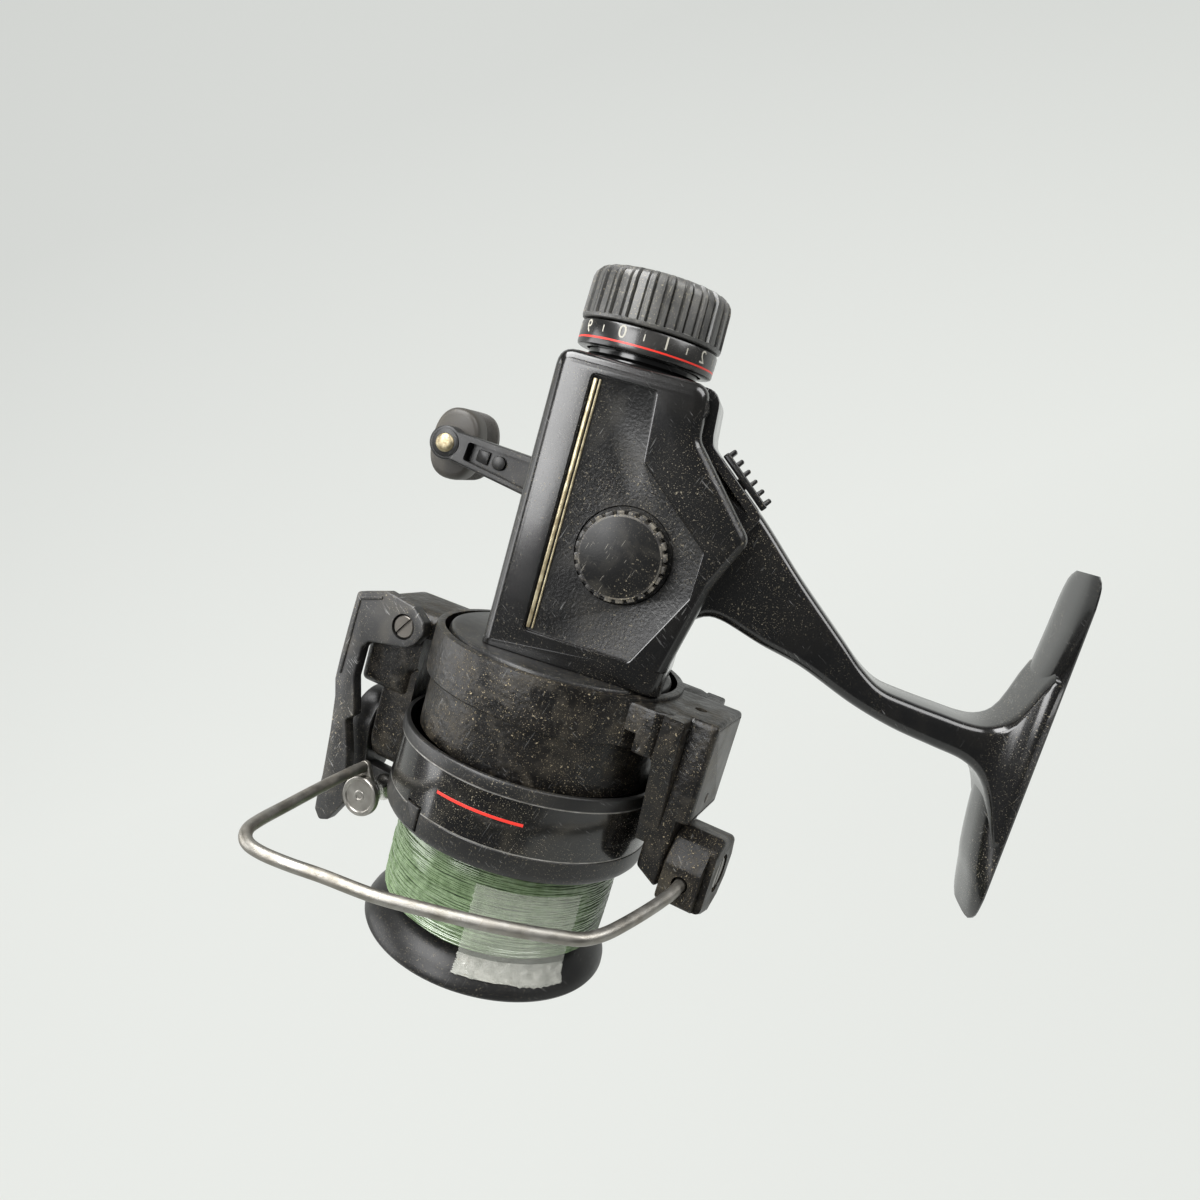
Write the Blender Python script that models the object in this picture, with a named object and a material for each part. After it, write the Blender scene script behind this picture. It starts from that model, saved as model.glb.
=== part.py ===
"""Spinning reel with a rear drag, modelled as the separate pieces that it comes apart into.

Run it with blender --background --python part.py, or from Blender's text editor.
Metres, +Z up to the rod, +X forward to the rod's tip, the handle on +Y.
The origin is the middle of the foot's flat face, where the rod's reel seat meets it.
"""
import math

import bmesh
import bpy
from mathutils import Matrix, Vector

mm = 0.001

# Clearances and what the cutters run past a face
gap = 0.3 * mm
play = 0.5 * mm
overrun = 1.0 * mm

# Places of the main axes
axis_drop = 82.0 * mm
rotor_azimuth = 14.0
drive_back = 11.9 * mm
drive_high = 7.5 * mm
stroke = 12.0 * mm

# Housing and side cover
tail_reach = 42.0 * mm
belly_depth = 12.0 * mm
nose_reach = 8.8 * mm
nose_lean = 3.4 * mm
nose_height = 19.8 * mm
crown_front_back = 10.8 * mm
crown_front_height = 23.1 * mm
crown_back = 19.8 * mm
crown_height = 26.9 * mm
shoulder_back_share = 0.7952
shoulder_back = tail_reach * shoulder_back_share
shoulder_height = 14.3 * mm
tail_height = 13.6 * mm
rim_step = 1.5 * mm
body_half = 14.6 * mm
cover_depth = 6.4 * mm
split_depth = body_half - cover_depth
body_wall = 1.7 * mm
body_corner = 2.2 * mm
body_edge = 1.6 * mm
boss_radius = 2.6 * mm
screw_radius = 1.1 * mm
screw_head_radius = 2.1 * mm
screw_head_height = 1.2 * mm
panel_depth = 0.7 * mm
panel_corner = 0.8 * mm
panel_low = 5.3 * mm
panel_margin = 3.2 * mm
panel_tail = tail_reach - panel_margin
panel_tail_high = 5.6 * mm
panel_bend_ahead = 6.0 * mm
panel_bend_back = shoulder_back - panel_bend_ahead
panel_bend_high = 6.6 * mm
panel_peak_back = 16.3 * mm
panel_peak_high = 20.0 * mm
panel_peak_front = 8.3 * mm
panel_nose = 4.9 * mm
panel_nose_high = 13.4 * mm
cap_pocket_radius = 8.3 * mm
cap_pocket_depth = 1.0 * mm
trim_width = 0.8 * mm
trim_height = 0.5 * mm
trim_low = 4.3 * mm

# Stem and foot
stem_root_height = 22.0 * mm
stem_inset = 1.57 * mm
stem_half = 6.4 * mm
stem_edge = 1.6 * mm
foot_rear = 30.0 * mm
foot_front = 32.0 * mm
foot_half = 8.35 * mm
foot_thickness = 6.0 * mm
foot_corner = 0.5 * mm

# Rear drag
barrel_radius = 10.0 * mm
barrel_clearance = 3.4 * mm
chamber_radius = 9.0 * mm
neck_radius = 9.8 * mm
neck_length = 5.0 * mm
washer_thickness = 1.0 * mm
washer_pairs = 2
eared_radius = 8.6 * mm
keyed_radius = 8.1 * mm
drag_spring_radius = 6.0 * mm
drag_spring_wire = 0.9 * mm
drag_spring_turns = 3
drag_spring_room = 8.3 * mm
drag_knob_radius = 12.5 * mm
drag_knob_length = 9.4 * mm
drag_knob_wall = 1.8 * mm
drag_knob_edge = 2.2 * mm
drag_ribs = 24
drag_rib_height = 0.55 * mm
scale_radius = 12.15 * mm
scale_length = 4.3 * mm
scale_gap = 1.8 * mm
scale_front = tail_reach + scale_gap
plunger_radius = 7.6 * mm

# Main shaft, crosshead and oscillation
shaft_radius = 2.1 * mm
shaft_tail = 4.8 * mm
crosshead_front = 10.4 * mm
crosshead_thickness = 4.0 * mm
crosshead_high = 3.6 * mm
crosshead_half = 4.6 * mm
rail_drop = 7.6 * mm
rail_radius = 1.3 * mm
crank_radius = 6.0 * mm
crank_pin_radius = 1.1 * mm
oscillation_radius = 7.6 * mm
oscillation_drop = 2.0 * mm
small_gear_radius = 3.7 * mm
spur_thickness = 2.0 * mm
spur_tooth = 0.7 * mm
spur_teeth = 12
spur_room = 2.3 * mm
spur_face = body_half - body_wall - spur_room
axle_radius = 1.5 * mm

# Drive gear, handle and its cap
drive_gear_outer = 13.2 * mm
drive_gear_inner = 9.3 * mm
barrel_front = drive_back + drive_gear_outer + barrel_clearance
drive_gear_teeth = 30
drive_tooth = 0.8 * mm
drive_disc = 1.8 * mm
drive_shaft_outer = 3.4 * mm
drive_shaft_bore = 2.3 * mm
handle_shaft_radius = 1.9 * mm
bush_radius = 5.4 * mm
drive_clearance = 2.0 * mm
hub_boss_radius = 7.6 * mm
hub_boss_height = 2.4 * mm
cap_radius = 7.5 * mm
cap_proud = 3.1 * mm
cap_notches = 24
cap_notch_depth = 0.45 * mm
shank_radius = 4.6 * mm
handle_clearance = 0.5 * mm
arm_depth = 5.4 * mm
arm_tip_back = 17.95 * mm
arm_tip_drop = 50.4 * mm
arm_root_half = 6.7 * mm
arm_tip_half = 3.5 * mm
arm_hub_radius = 7.7 * mm
arm_tip_radius = 4.2 * mm
arm_rim = 1.3 * mm
arm_recess = 3.4 * mm
rivet_radius = 1.5 * mm
rivet_head_radius = 2.4 * mm
rivet_head_height = 0.9 * mm
knob_length = 21.0 * mm
knob_long_half = 9.2 * mm
knob_thick_half = 6.3 * mm
knob_grooves = 6
knob_groove_depth = 0.35 * mm
knob_groove_pitch = 1.7 * mm

# Bearing, pinion and rotor
plate_clearance = 1.0 * mm
plate_thickness = 2.0 * mm
plate_hub_radius = 9.6 * mm
plate_hub_back = 4.6 * mm
bearing_radius = 8.4 * mm
bearing_width = 4.4 * mm
bearing_bore = 3.6 * mm
ball_radius = 1.1 * mm
ball_pitch = 6.0 * mm
ball_count = 8
race_wall = 1.0 * mm
cage_half = 0.45 * mm
pinion_rear = 9.3 * mm
pinion_front = 27.4 * mm
pinion_radius = 3.3 * mm
pinion_gear_radius = 4.8 * mm
pinion_gear_half = 2.7 * mm
pinion_gear_back = 3.7 * mm
pinion_teeth = 6
pinion_tooth = 1.1 * mm
pinion_twist = 40.0
ratchet_radius = 9.2 * mm
ratchet_teeth = 12
ratchet_tooth = 1.4 * mm
ratchet_thickness = 1.8 * mm
pawl_pin_radius = 1.0 * mm
pawl_pin_reach = 15.0 * mm
pawl_side = 6.6 * mm
pawl_half = 1.7 * mm
pawl_nose_half = 0.7 * mm
rotor_rear = 9.7 * mm
rotor_inset = 1.5 * mm
rotor_wall = 1.4 * mm
rotor_step = 18.5 * mm
rotor_neck_step = 1.3 * mm
rotor_front = 25.6 * mm
rotor_rim_front = 28.6 * mm
rotor_web = 2.4 * mm
rotor_hub_radius = 6.6 * mm
rotor_hub_rear = 14.4 * mm
nut_radius = 5.6 * mm
nut_thickness = 2.6 * mm

# Rotor arms
arm_rear = 10.4 * mm
arm_half = 8.4 * mm
arm_clearance = 2.3 * mm
rotor_arm_depth = 4.5 * mm
arm_rise = 2.1 * mm
arm_step_clearance = 0.8 * mm
arm_tip_reach = 3.7 * mm
arm_nose = 2.2 * mm
arm_edge = 0.8 * mm
left_rise = 4.9 * mm
left_step_clearance = 2.1 * mm
left_half = 6.8 * mm
left_clearance = 0.8 * mm
pivot_reach = 37.0 * mm
pivot_screw_radius = 1.8 * mm
pivot_head_radius = 3.1 * mm
pivot_head_height = 1.3 * mm
pivot_recess_radius = 3.5 * mm
pivot_recess_depth = 2.0 * mm
brace_drop = 0.4 * mm
brace_width = 4.5 * mm
brace_half = arm_half + brace_width
brace_length = 8.1 * mm
arm_floor = 1.1 * mm
arm_cavity_wall = 1.6 * mm
arm_cover_thickness = 1.4 * mm
bail_spring_radius = 1.4 * mm
bail_spring_wire = 0.5 * mm
bail_spring_turns = 4

# Bail
block_radius = 7.8 * mm
block_height = 7.9 * mm
block_edge = 0.9 * mm
block_lug_rear = 2.2 * mm
block_lug_front = 4.6 * mm
block_lug_side = 9.5 * mm
wire_radius = 1.05 * mm
wire_socket_radius = 1.45 * mm
wire_socket_depth = 3.0 * mm
wire_hole_ahead = 0.8 * mm
wire_hole_high = 3.9 * mm
bail_arm_thickness = 5.0 * mm
bail_arm_radius = 6.9 * mm
roller_ahead = 10.6 * mm
roller_drop = 5.0 * mm
roller_radius = 2.6 * mm
roller_waist = 2.1 * mm
roller_bore = 1.5 * mm
roller_screw_radius = 1.2 * mm
roller_head_radius = 3.9 * mm
roller_head_side = 13.0 * mm
roller_head_height = 1.1 * mm
eye_thickness = 1.1 * mm
lug_side = 4.6 * mm
lug_thickness = 3.2 * mm
lug_rear = 7.6 * mm
lug_front = 13.8 * mm
wire_end_ahead = 5.4 * mm
wire_end_drop = 3.6 * mm
wire_reach = 46.6 * mm

# Bail trigger
trigger_stand = 3.1 * mm
trigger_side = arm_half + trigger_stand
trigger_thickness = 2.6 * mm
trigger_length = 56.7 * mm
trigger_high = 7.6 * mm
trigger_pin_ahead_share = 0.2425
trigger_pin_rise_share = 0.693
trigger_pin_ahead = trigger_length * trigger_pin_ahead_share
trigger_hole_radius = 2.45 * mm
trigger_head_radius = 2.15 * mm
trigger_screw_radius = 1.3 * mm
trigger_screw_depth = 6.0 * mm

# Spool, line, clip, tape and button
skirt_radius = 25.0 * mm
skirt_wall = 0.95 * mm
skirt_rear = 27.6 * mm
skirt_front = 43.8 * mm
skirt_edge = 1.4 * mm
spool_web = 2.6 * mm
line_depth = 3.7 * mm
drum_wall = 1.6 * mm
lip_rear = 60.6 * mm
lip_front = 67.1 * mm
lip_drop = 1.4 * mm
spool_face_depth = 2.6 * mm
spool_hub_radius = 6.4 * mm
spool_hub_rear = 50.0 * mm
core_drop = 4.5 * mm
line_radius = 0.50 * mm
line_turns = 8
line_points_per_turn = 22
core_steps = 28
tape_rear = 50.5 * mm
tape_start_degrees = 32.0
tape_end_degrees = 84.0
tape_thickness = 0.2 * mm
tape_steps = 6
clip_azimuth = 125.0
clip_half_width = 1.7 * mm
clip_length = 4.0 * mm
clip_proud = 0.25 * mm
button_radius = 4.2 * mm
button_proud = 1.6 * mm
button_travel = 2.0 * mm
button_room = 3.6 * mm

# Anti-reverse switch
slope_low_back_share = 0.7905
slope_low_back = tail_reach * slope_low_back_share
slope_low_height = 16.2 * mm
slope_high_back = 24.1 * mm
slope_high_height = 27.6 * mm
slope_share_at_stem = (slope_high_height - stem_root_height) / (slope_high_height - slope_low_height)
slope_at_stem = slope_high_back + (slope_low_back - slope_high_back) * slope_share_at_stem
stem_reach = slope_at_stem - stem_inset
switch_length = 11.5 * mm
switch_start = 2.25 * mm
switch_half = 4.0 * mm
switch_base = 1.2 * mm
switch_ribs = 6
switch_rib_height = 1.2 * mm
switch_rib_width = 0.9 * mm
switch_post_radius = 1.1 * mm
switch_travel = 2.0 * mm

# Sizes that follow from the ones above
arm_inner_radius = skirt_radius + arm_clearance
arm_front_radius = arm_inner_radius + rotor_arm_depth
arm_side_radius = arm_front_radius + arm_rise
arm_cavity_floor = arm_inner_radius + arm_floor
left_side_radius = arm_front_radius + left_rise
left_inner_radius = skirt_radius + left_clearance
rotor_radius = skirt_radius - rotor_inset
rotor_neck_radius = rotor_radius - rotor_neck_step
plate_radius = rotor_radius - rotor_wall - plate_clearance
brace_rise = arm_inner_radius - brace_drop
arm_step = pivot_reach - block_radius - arm_step_clearance
arm_front = pivot_reach + arm_tip_reach
left_step = pivot_reach - bail_arm_radius - left_step_clearance
arm_cavity_front = arm_step - arm_cavity_wall
wire_hole_rise = arm_front_radius + wire_hole_high
wire_end_rise = arm_front_radius - wire_end_drop
roller_rise = arm_front_radius - roller_drop
trigger_rise = arm_front_radius + trigger_high
trigger_pin_rise = trigger_rise * trigger_pin_rise_share
core_radius = skirt_radius - core_drop
drum_radius = core_radius - line_depth
lip_radius = skirt_radius - lip_drop


# Two-dimensional outlines

def rounded(points, radius, steps=2):
    """The outline with each corner turned into an arc, limited by the sides that meet there."""
    outline = []
    count = len(points)
    for index in range(count):
        here = Vector(points[index])
        before = Vector(points[index - 1]) - here
        after = Vector(points[(index + 1) % count]) - here
        angle = before.angle(after)
        reach = min(radius / math.tan(angle / 2), 0.45 * before.length, 0.45 * after.length)
        if reach < 1e-7 or math.pi - angle < 0.03:
            outline.append(tuple(here))
            continue
        start = here + before.normalized() * reach
        end = here + after.normalized() * reach
        for step in range(steps + 1):
            t = step / steps
            point = start * (1 - t) ** 2 + here * 2 * t * (1 - t) + end * t ** 2
            outline.append(tuple(point))
    return outline


def area_of(points):
    total = 0.0
    for index, (x, y) in enumerate(points):
        next_x, next_y = points[(index + 1) % len(points)]
        total += x * next_y - next_x * y
    return total / 2


def inset(points, distance):
    """The outline moved inwards by the distance, with mitred corners."""
    sign = 1 if area_of(points) > 0 else -1
    moved = []
    for index in range(len(points)):
        here = Vector(points[index])
        before = (here - Vector(points[index - 1])).normalized()
        after = (Vector(points[(index + 1) % len(points)]) - here).normalized()
        first = Vector((-before.y, before.x)) * sign
        second = Vector((-after.y, after.x)) * sign
        bend = max(1 + first.dot(second), 0.4)
        moved.append(tuple(here + (first + second) * distance / bend))
    return moved


def circle(radius, steps, centre=(0.0, 0.0), start=0.0):
    turn = 2 * math.pi / steps
    return [(centre[0] + radius * math.cos(start + turn * step),
             centre[1] + radius * math.sin(start + turn * step)) for step in range(steps)]


def hull(points):
    """The convex outline round the points."""
    ordered = sorted(set(points))

    def chain(sequence):
        side = []
        for point in sequence:
            while len(side) > 1:
                (ax, ay), (bx, by) = side[-2], side[-1]
                if (bx - ax) * (point[1] - ay) - (by - ay) * (point[0] - ax) > 0:
                    break
                side.pop()
            side.append(point)
        return side[:-1]

    return chain(ordered) + chain(ordered[::-1])


def toothed(radius, depth, teeth, start=0.0):
    """A gear's outline: each tooth has two points at its tip and one at its root."""
    outline = []
    step = 2 * math.pi / teeth
    for tooth in range(teeth):
        for share, level in ((0.0, radius - depth), (0.34, radius), (0.66, radius)):
            angle = start + step * (tooth + share)
            outline.append((level * math.cos(angle), level * math.sin(angle)))
    return outline


# Solids

def in_plane(plane, first, second, level):
    """A point of the plane's own two axes, at its level along the third."""
    if plane == "xz":
        return Vector((first, level, second))
    if plane == "xy":
        return Vector((first, second, level))
    return Vector((level, first, second))


def loft(rings, closed=False):
    """A solid through rings of equally many points. A ring of one point is a pole."""
    bm = bmesh.new()
    loops = [[bm.verts.new(point) for point in ring] for ring in rings]
    pairs = list(zip(loops, loops[1:]))
    if closed:
        pairs.append((loops[-1], loops[0]))
    for low, high in pairs:
        count = max(len(low), len(high))
        for index in range(count):
            after = (index + 1) % count
            if len(low) == 1:
                bm.faces.new((low[0], high[after], high[index]))
            elif len(high) == 1:
                bm.faces.new((low[index], low[after], high[0]))
            else:
                bm.faces.new((low[index], low[after], high[after], high[index]))
    if not closed:
        for ring in (loops[0], loops[-1]):
            if len(ring) > 1:
                bm.faces.new(ring)
    bmesh.ops.recalc_face_normals(bm, faces=bm.faces[:])
    return bm


def prism(outline, low, high, plane="xz", low_edge=0.0, high_edge=0.0, steps=2):
    """The outline extruded from low to high, its two rims rounded by their own radii."""
    levels = []
    for step in range(steps + 1):
        angle = math.pi / 2 * (1 - step / steps)
        if low_edge > 0:
            levels.append((low + low_edge * (1 - math.sin(angle)), low_edge * (1 - math.cos(angle))))
    levels.sort()
    if not levels:
        levels = [(low, 0.0)]
    top = []
    for step in range(steps + 1):
        angle = math.pi / 2 * step / steps
        if high_edge > 0:
            top.append((high - high_edge * (1 - math.sin(angle)), high_edge * (1 - math.cos(angle))))
    levels += top or [(high, 0.0)]
    rings = []
    for level, inward in levels:
        shape = inset(outline, inward) if inward > 0 else outline
        rings.append([in_plane(plane, a, b, level) for a, b in shape])
    return loft(rings)


def around(axis, along, radius, angle):
    across = radius * math.cos(angle)
    up = radius * math.sin(angle)
    if axis == "x":
        return Vector((along, across, up))
    if axis == "y":
        return Vector((across, along, up))
    return Vector((across, up, along))


def turned(profile, axis="x", steps=24, closed=False, start=0.0):
    """A profile of (along, radius) turned about the axis. A closed profile makes a ring."""
    rings = []
    for along, radius in profile:
        count = 1 if radius == 0 else steps
        rings.append([around(axis, along, radius, start + 2 * math.pi * step / steps)
                      for step in range(count)])
    return loft(rings, closed)


def rod(low, high, radius, axis="x", steps=14):
    return turned([(low, 0), (low, radius), (high, radius), (high, 0)], axis, steps)


def pipe(low, high, outer, inner, axis="x", steps=14):
    return turned([(low, inner), (low, outer), (high, outer), (high, inner)], axis, steps, True)


def block(x_range, y_range, z_range):
    outline = [(x_range[0], y_range[0]), (x_range[1], y_range[0]),
               (x_range[1], y_range[1]), (x_range[0], y_range[1])]
    return prism(outline, z_range[0], z_range[1], "xy")


def tube(points, radius, sides=6):
    """A round bar along the points, with flat ends."""
    rings = []
    across = None
    for index, point in enumerate(points):
        before = points[max(index - 1, 0)]
        after = points[min(index + 1, len(points) - 1)]
        along = (after - before).normalized()
        if across is None:
            across = along.orthogonal()
        across = (across - along * across.dot(along)).normalized()
        up = along.cross(across)
        rings.append([point + (across * math.cos(a) + up * math.sin(a)) * radius
                      for a in (2 * math.pi * side / sides for side in range(sides))])
    return loft(rings)


def coil(low, high, radius, wire, turns, axis="x", points=8):
    """A helical spring whose ends run straight for one wire diameter."""
    count = turns * points
    path = [around(axis, low + wire + (high - low - 2 * wire) * step / count, radius,
                   2 * math.pi * step / points) for step in range(count + 1)]
    first = (path[0] - path[1]).normalized() * 2 * wire
    last = (path[-1] - path[-2]).normalized() * 2 * wire
    return tube([path[0] + first] + path + [path[-1] + last], wire, 5)


def moved(bm, offset):
    bmesh.ops.translate(bm, verts=bm.verts[:], vec=offset)
    return bm


def turned_by(bm, degrees, axis, centre=(0, 0, 0)):
    bmesh.ops.rotate(bm, verts=bm.verts[:], cent=centre,
                     matrix=Matrix.Rotation(math.radians(degrees), 3, axis))
    return bm


def boolean(base, tools, operation):
    """The base with each tool added or cut away, as a new mesh."""
    scene = bpy.context.scene
    target = scratch_object("base", base, scene)
    helpers = []
    for index, tool in enumerate(tools):
        helper = scratch_object("tool_%d" % index, tool, scene)
        modifier = target.modifiers.new("step_%d" % index, "BOOLEAN")
        modifier.operation = operation
        modifier.object = helper
        modifier.solver = "EXACT"
        helpers.append(helper)
    depsgraph = bpy.context.evaluated_depsgraph_get()
    mesh = bpy.data.meshes.new_from_object(target.evaluated_get(depsgraph))
    result = bmesh.new()
    result.from_mesh(mesh)
    bmesh.ops.remove_doubles(result, verts=result.verts[:], dist=0.000002)
    bmesh.ops.dissolve_degenerate(result, edges=result.edges[:], dist=0.000002)
    bpy.data.meshes.remove(mesh)
    for item in helpers + [target]:
        data = item.data
        bpy.data.objects.remove(item)
        bpy.data.meshes.remove(data)
    return result


def scratch_object(name, bm, scene):
    data = bpy.data.meshes.new(name)
    bm.to_mesh(data)
    item = bpy.data.objects.new(name, data)
    scene.collection.objects.link(item)
    return item


def added(base, *tools):
    return boolean(base, tools, "UNION")


def cut(base, *tools):
    return boolean(base, tools, "DIFFERENCE")


# Scene

finishes = {
    "gloss black": ((0.012, 0.012, 0.013), 0.22, 0.0),
    "satin black": ((0.022, 0.022, 0.023), 0.42, 0.0),
    "matt grey": ((0.055, 0.055, 0.058), 0.55, 0.0),
    "rubber": ((0.085, 0.078, 0.070), 0.75, 0.0),
    "steel": ((0.55, 0.54, 0.52), 0.30, 1.0),
    "bright steel": ((0.70, 0.70, 0.70), 0.15, 1.0),
    "brass": ((0.62, 0.47, 0.24), 0.30, 1.0),
    "bronze": ((0.42, 0.30, 0.17), 0.40, 1.0),
    "alloy": ((0.50, 0.49, 0.47), 0.35, 1.0),
    "line green": ((0.33, 0.52, 0.34), 0.35, 0.0),
    "clear tape": ((0.62, 0.62, 0.52), 0.20, 0.0),
    "fibre": ((0.30, 0.24, 0.17), 0.80, 0.0),
    "white resin": ((0.75, 0.74, 0.70), 0.45, 0.0),
}


def finish(name, kind):
    colour, roughness, metallic = finishes[kind]
    material = bpy.data.materials.new(name + "_finish")
    material.use_nodes = True
    shader = material.node_tree.nodes["Principled BSDF"]
    shader.inputs["Base Color"].default_value = (*colour, 1.0)
    shader.inputs["Roughness"].default_value = roughness
    shader.inputs["Metallic"].default_value = metallic
    return material


def frame_empty(name, place, parent=None, turn=(0.0, 0.0, 0.0)):
    """A joint's own frame: its origin is on the joint's axis."""
    empty = bpy.data.objects.new(name, None)
    bpy.context.scene.collection.objects.link(empty)
    empty.location = place
    empty.rotation_euler = [math.radians(angle) for angle in turn]
    empty.parent = parent
    empty.hide_render = True
    return empty


def piece(name, bm, parent, kind, offset=(0.0, 0.0, 0.0)):
    """One named solid. The offset is its parent's own place, taken out of its points."""
    bmesh.ops.translate(bm, verts=bm.verts[:], vec=-Vector(offset))
    bmesh.ops.recalc_face_normals(bm, faces=bm.faces[:])
    data = bpy.data.meshes.new(name)
    bm.to_mesh(data)
    bm.free()
    data.shade_smooth()
    data.set_sharp_from_angle(angle=math.radians(32))
    item = bpy.data.objects.new(name, data)
    bpy.context.scene.collection.objects.link(item)
    item.parent = parent
    item.data.materials.append(finish(name, kind))
    return item


# Housing, cover, stem and foot

def cover_outline():
    return [(-tail_reach, -belly_depth), (nose_reach, -belly_depth),
            (nose_reach - nose_lean, nose_height), (-crown_front_back, crown_front_height),
            (-crown_back, crown_height), (-shoulder_back, shoulder_height),
            (-tail_reach, tail_height)]


def housing_outline():
    """As the cover's, but standing a rim's step above it along the back and the slope."""
    return [(-tail_reach, -belly_depth), (nose_reach, -belly_depth),
            (nose_reach - nose_lean, nose_height), (-crown_front_back, crown_front_height),
            (-slope_high_back + 2 * rim_step, slope_high_height - rim_step),
            (-slope_high_back, slope_high_height), (-slope_low_back, slope_low_height),
            (-shoulder_back - rim_step, shoulder_height + rim_step),
            (-tail_reach, tail_height + rim_step)]


def panel_outline():
    return [(-panel_tail, -panel_low), (panel_nose, -panel_low), (panel_nose, panel_nose_high),
            (-panel_peak_front, panel_peak_high), (-panel_peak_back, panel_peak_high),
            (-panel_bend_back, panel_bend_high), (-panel_tail, panel_tail_high)]


def drive_disc_back():
    """The far face of the drive gear's disc, from the pinion's teeth outwards."""
    return pinion_gear_radius + gap + 2 * drive_tooth + drive_disc


def bush_inner():
    """Where the housing's boss and bush begin, clear of the drive gear's disc."""
    return drive_disc_back() + drive_clearance


def screw_places():
    """Where the three cover screws stand: low at the nose, high at the crown, and at the tail."""
    return [(nose_reach - body_wall - 2.1 * boss_radius, -belly_depth + body_wall + boss_radius * 0.7),
            (-crown_back, crown_height - body_wall - 1.3 * boss_radius),
            (-tail_reach + body_wall + 0.9 * boss_radius, barrel_radius + 0.6 * boss_radius)]


def stem_solid():
    foot_low = axis_drop - foot_thickness / 2
    span = foot_low - stem_root_height
    rear_shares = ((0.0, 1.0), (0.10, 0.89), (0.27, 0.58), (0.44, 0.28), (0.56, 0.095),
                   (0.67, 0.05), (0.86, 0.04), (1.0, 0.13))
    front_shares = ((1.0, -0.25), (0.86, -0.19), (0.77, -0.185), (0.64, -0.152), (0.50, -0.081),
                    (0.34, 0.046), (0.206, 0.107), (0.08, 0.17), (0.0, 0.05))
    outline = [(-stem_reach * reach, stem_root_height + span * rise)
               for rise, reach in rear_shares + front_shares]
    return prism(outline, -stem_half, stem_half, "xz", stem_edge, stem_edge, 1)


def foot_solid():
    """Sections along the foot: place, thickness and half width as shares of the foot's sizes."""
    rear_shares = ((1.0, 0.17, 0.72), (0.95, 0.21, 0.92), (0.80, 0.25, 1.0), (0.37, 0.38, 1.0),
                   (0.20, 0.60, 1.0), (0.07, 0.95, 1.0))
    front_shares = ((0.20, 1.0, 1.0), (0.42, 0.80, 1.0), (0.68, 0.57, 1.0), (0.82, 0.35, 1.0),
                    (0.94, 0.20, 0.92), (1.0, 0.15, 0.72))
    stations = [(-foot_rear * at, thick, wide) for at, thick, wide in rear_shares]
    stations += [(foot_front * at, thick, wide) for at, thick, wide in front_shares]
    rings = []
    for x, thick, wide in stations:
        half = foot_half * wide
        low = axis_drop - foot_thickness * thick
        corner = min(foot_corner, foot_thickness * thick / 3)
        section = [(-half + corner, low), (half - corner, low), (half, low + corner),
                   (half, axis_drop - corner), (half - corner, axis_drop),
                   (-half + corner, axis_drop), (-half, axis_drop - corner), (-half, low + corner)]
        rings.append([Vector((x, y, z)) for y, z in section])
    return loft(rings)


def slope_frame():
    """The slope's direction, its outward normal and the switch's middle, in the x-z plane."""
    low = Vector((-slope_low_back, slope_low_height))
    high = Vector((-slope_high_back, slope_high_height))
    along = (high - low).normalized()
    outward = Vector((-along.y, along.x))
    middle = low + along * (switch_start + switch_length / 2)
    return along, outward, middle


def on_slope(u, v):
    along, outward, middle = slope_frame()
    point = middle + along * u + outward * v
    return point.x, point.y


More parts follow.
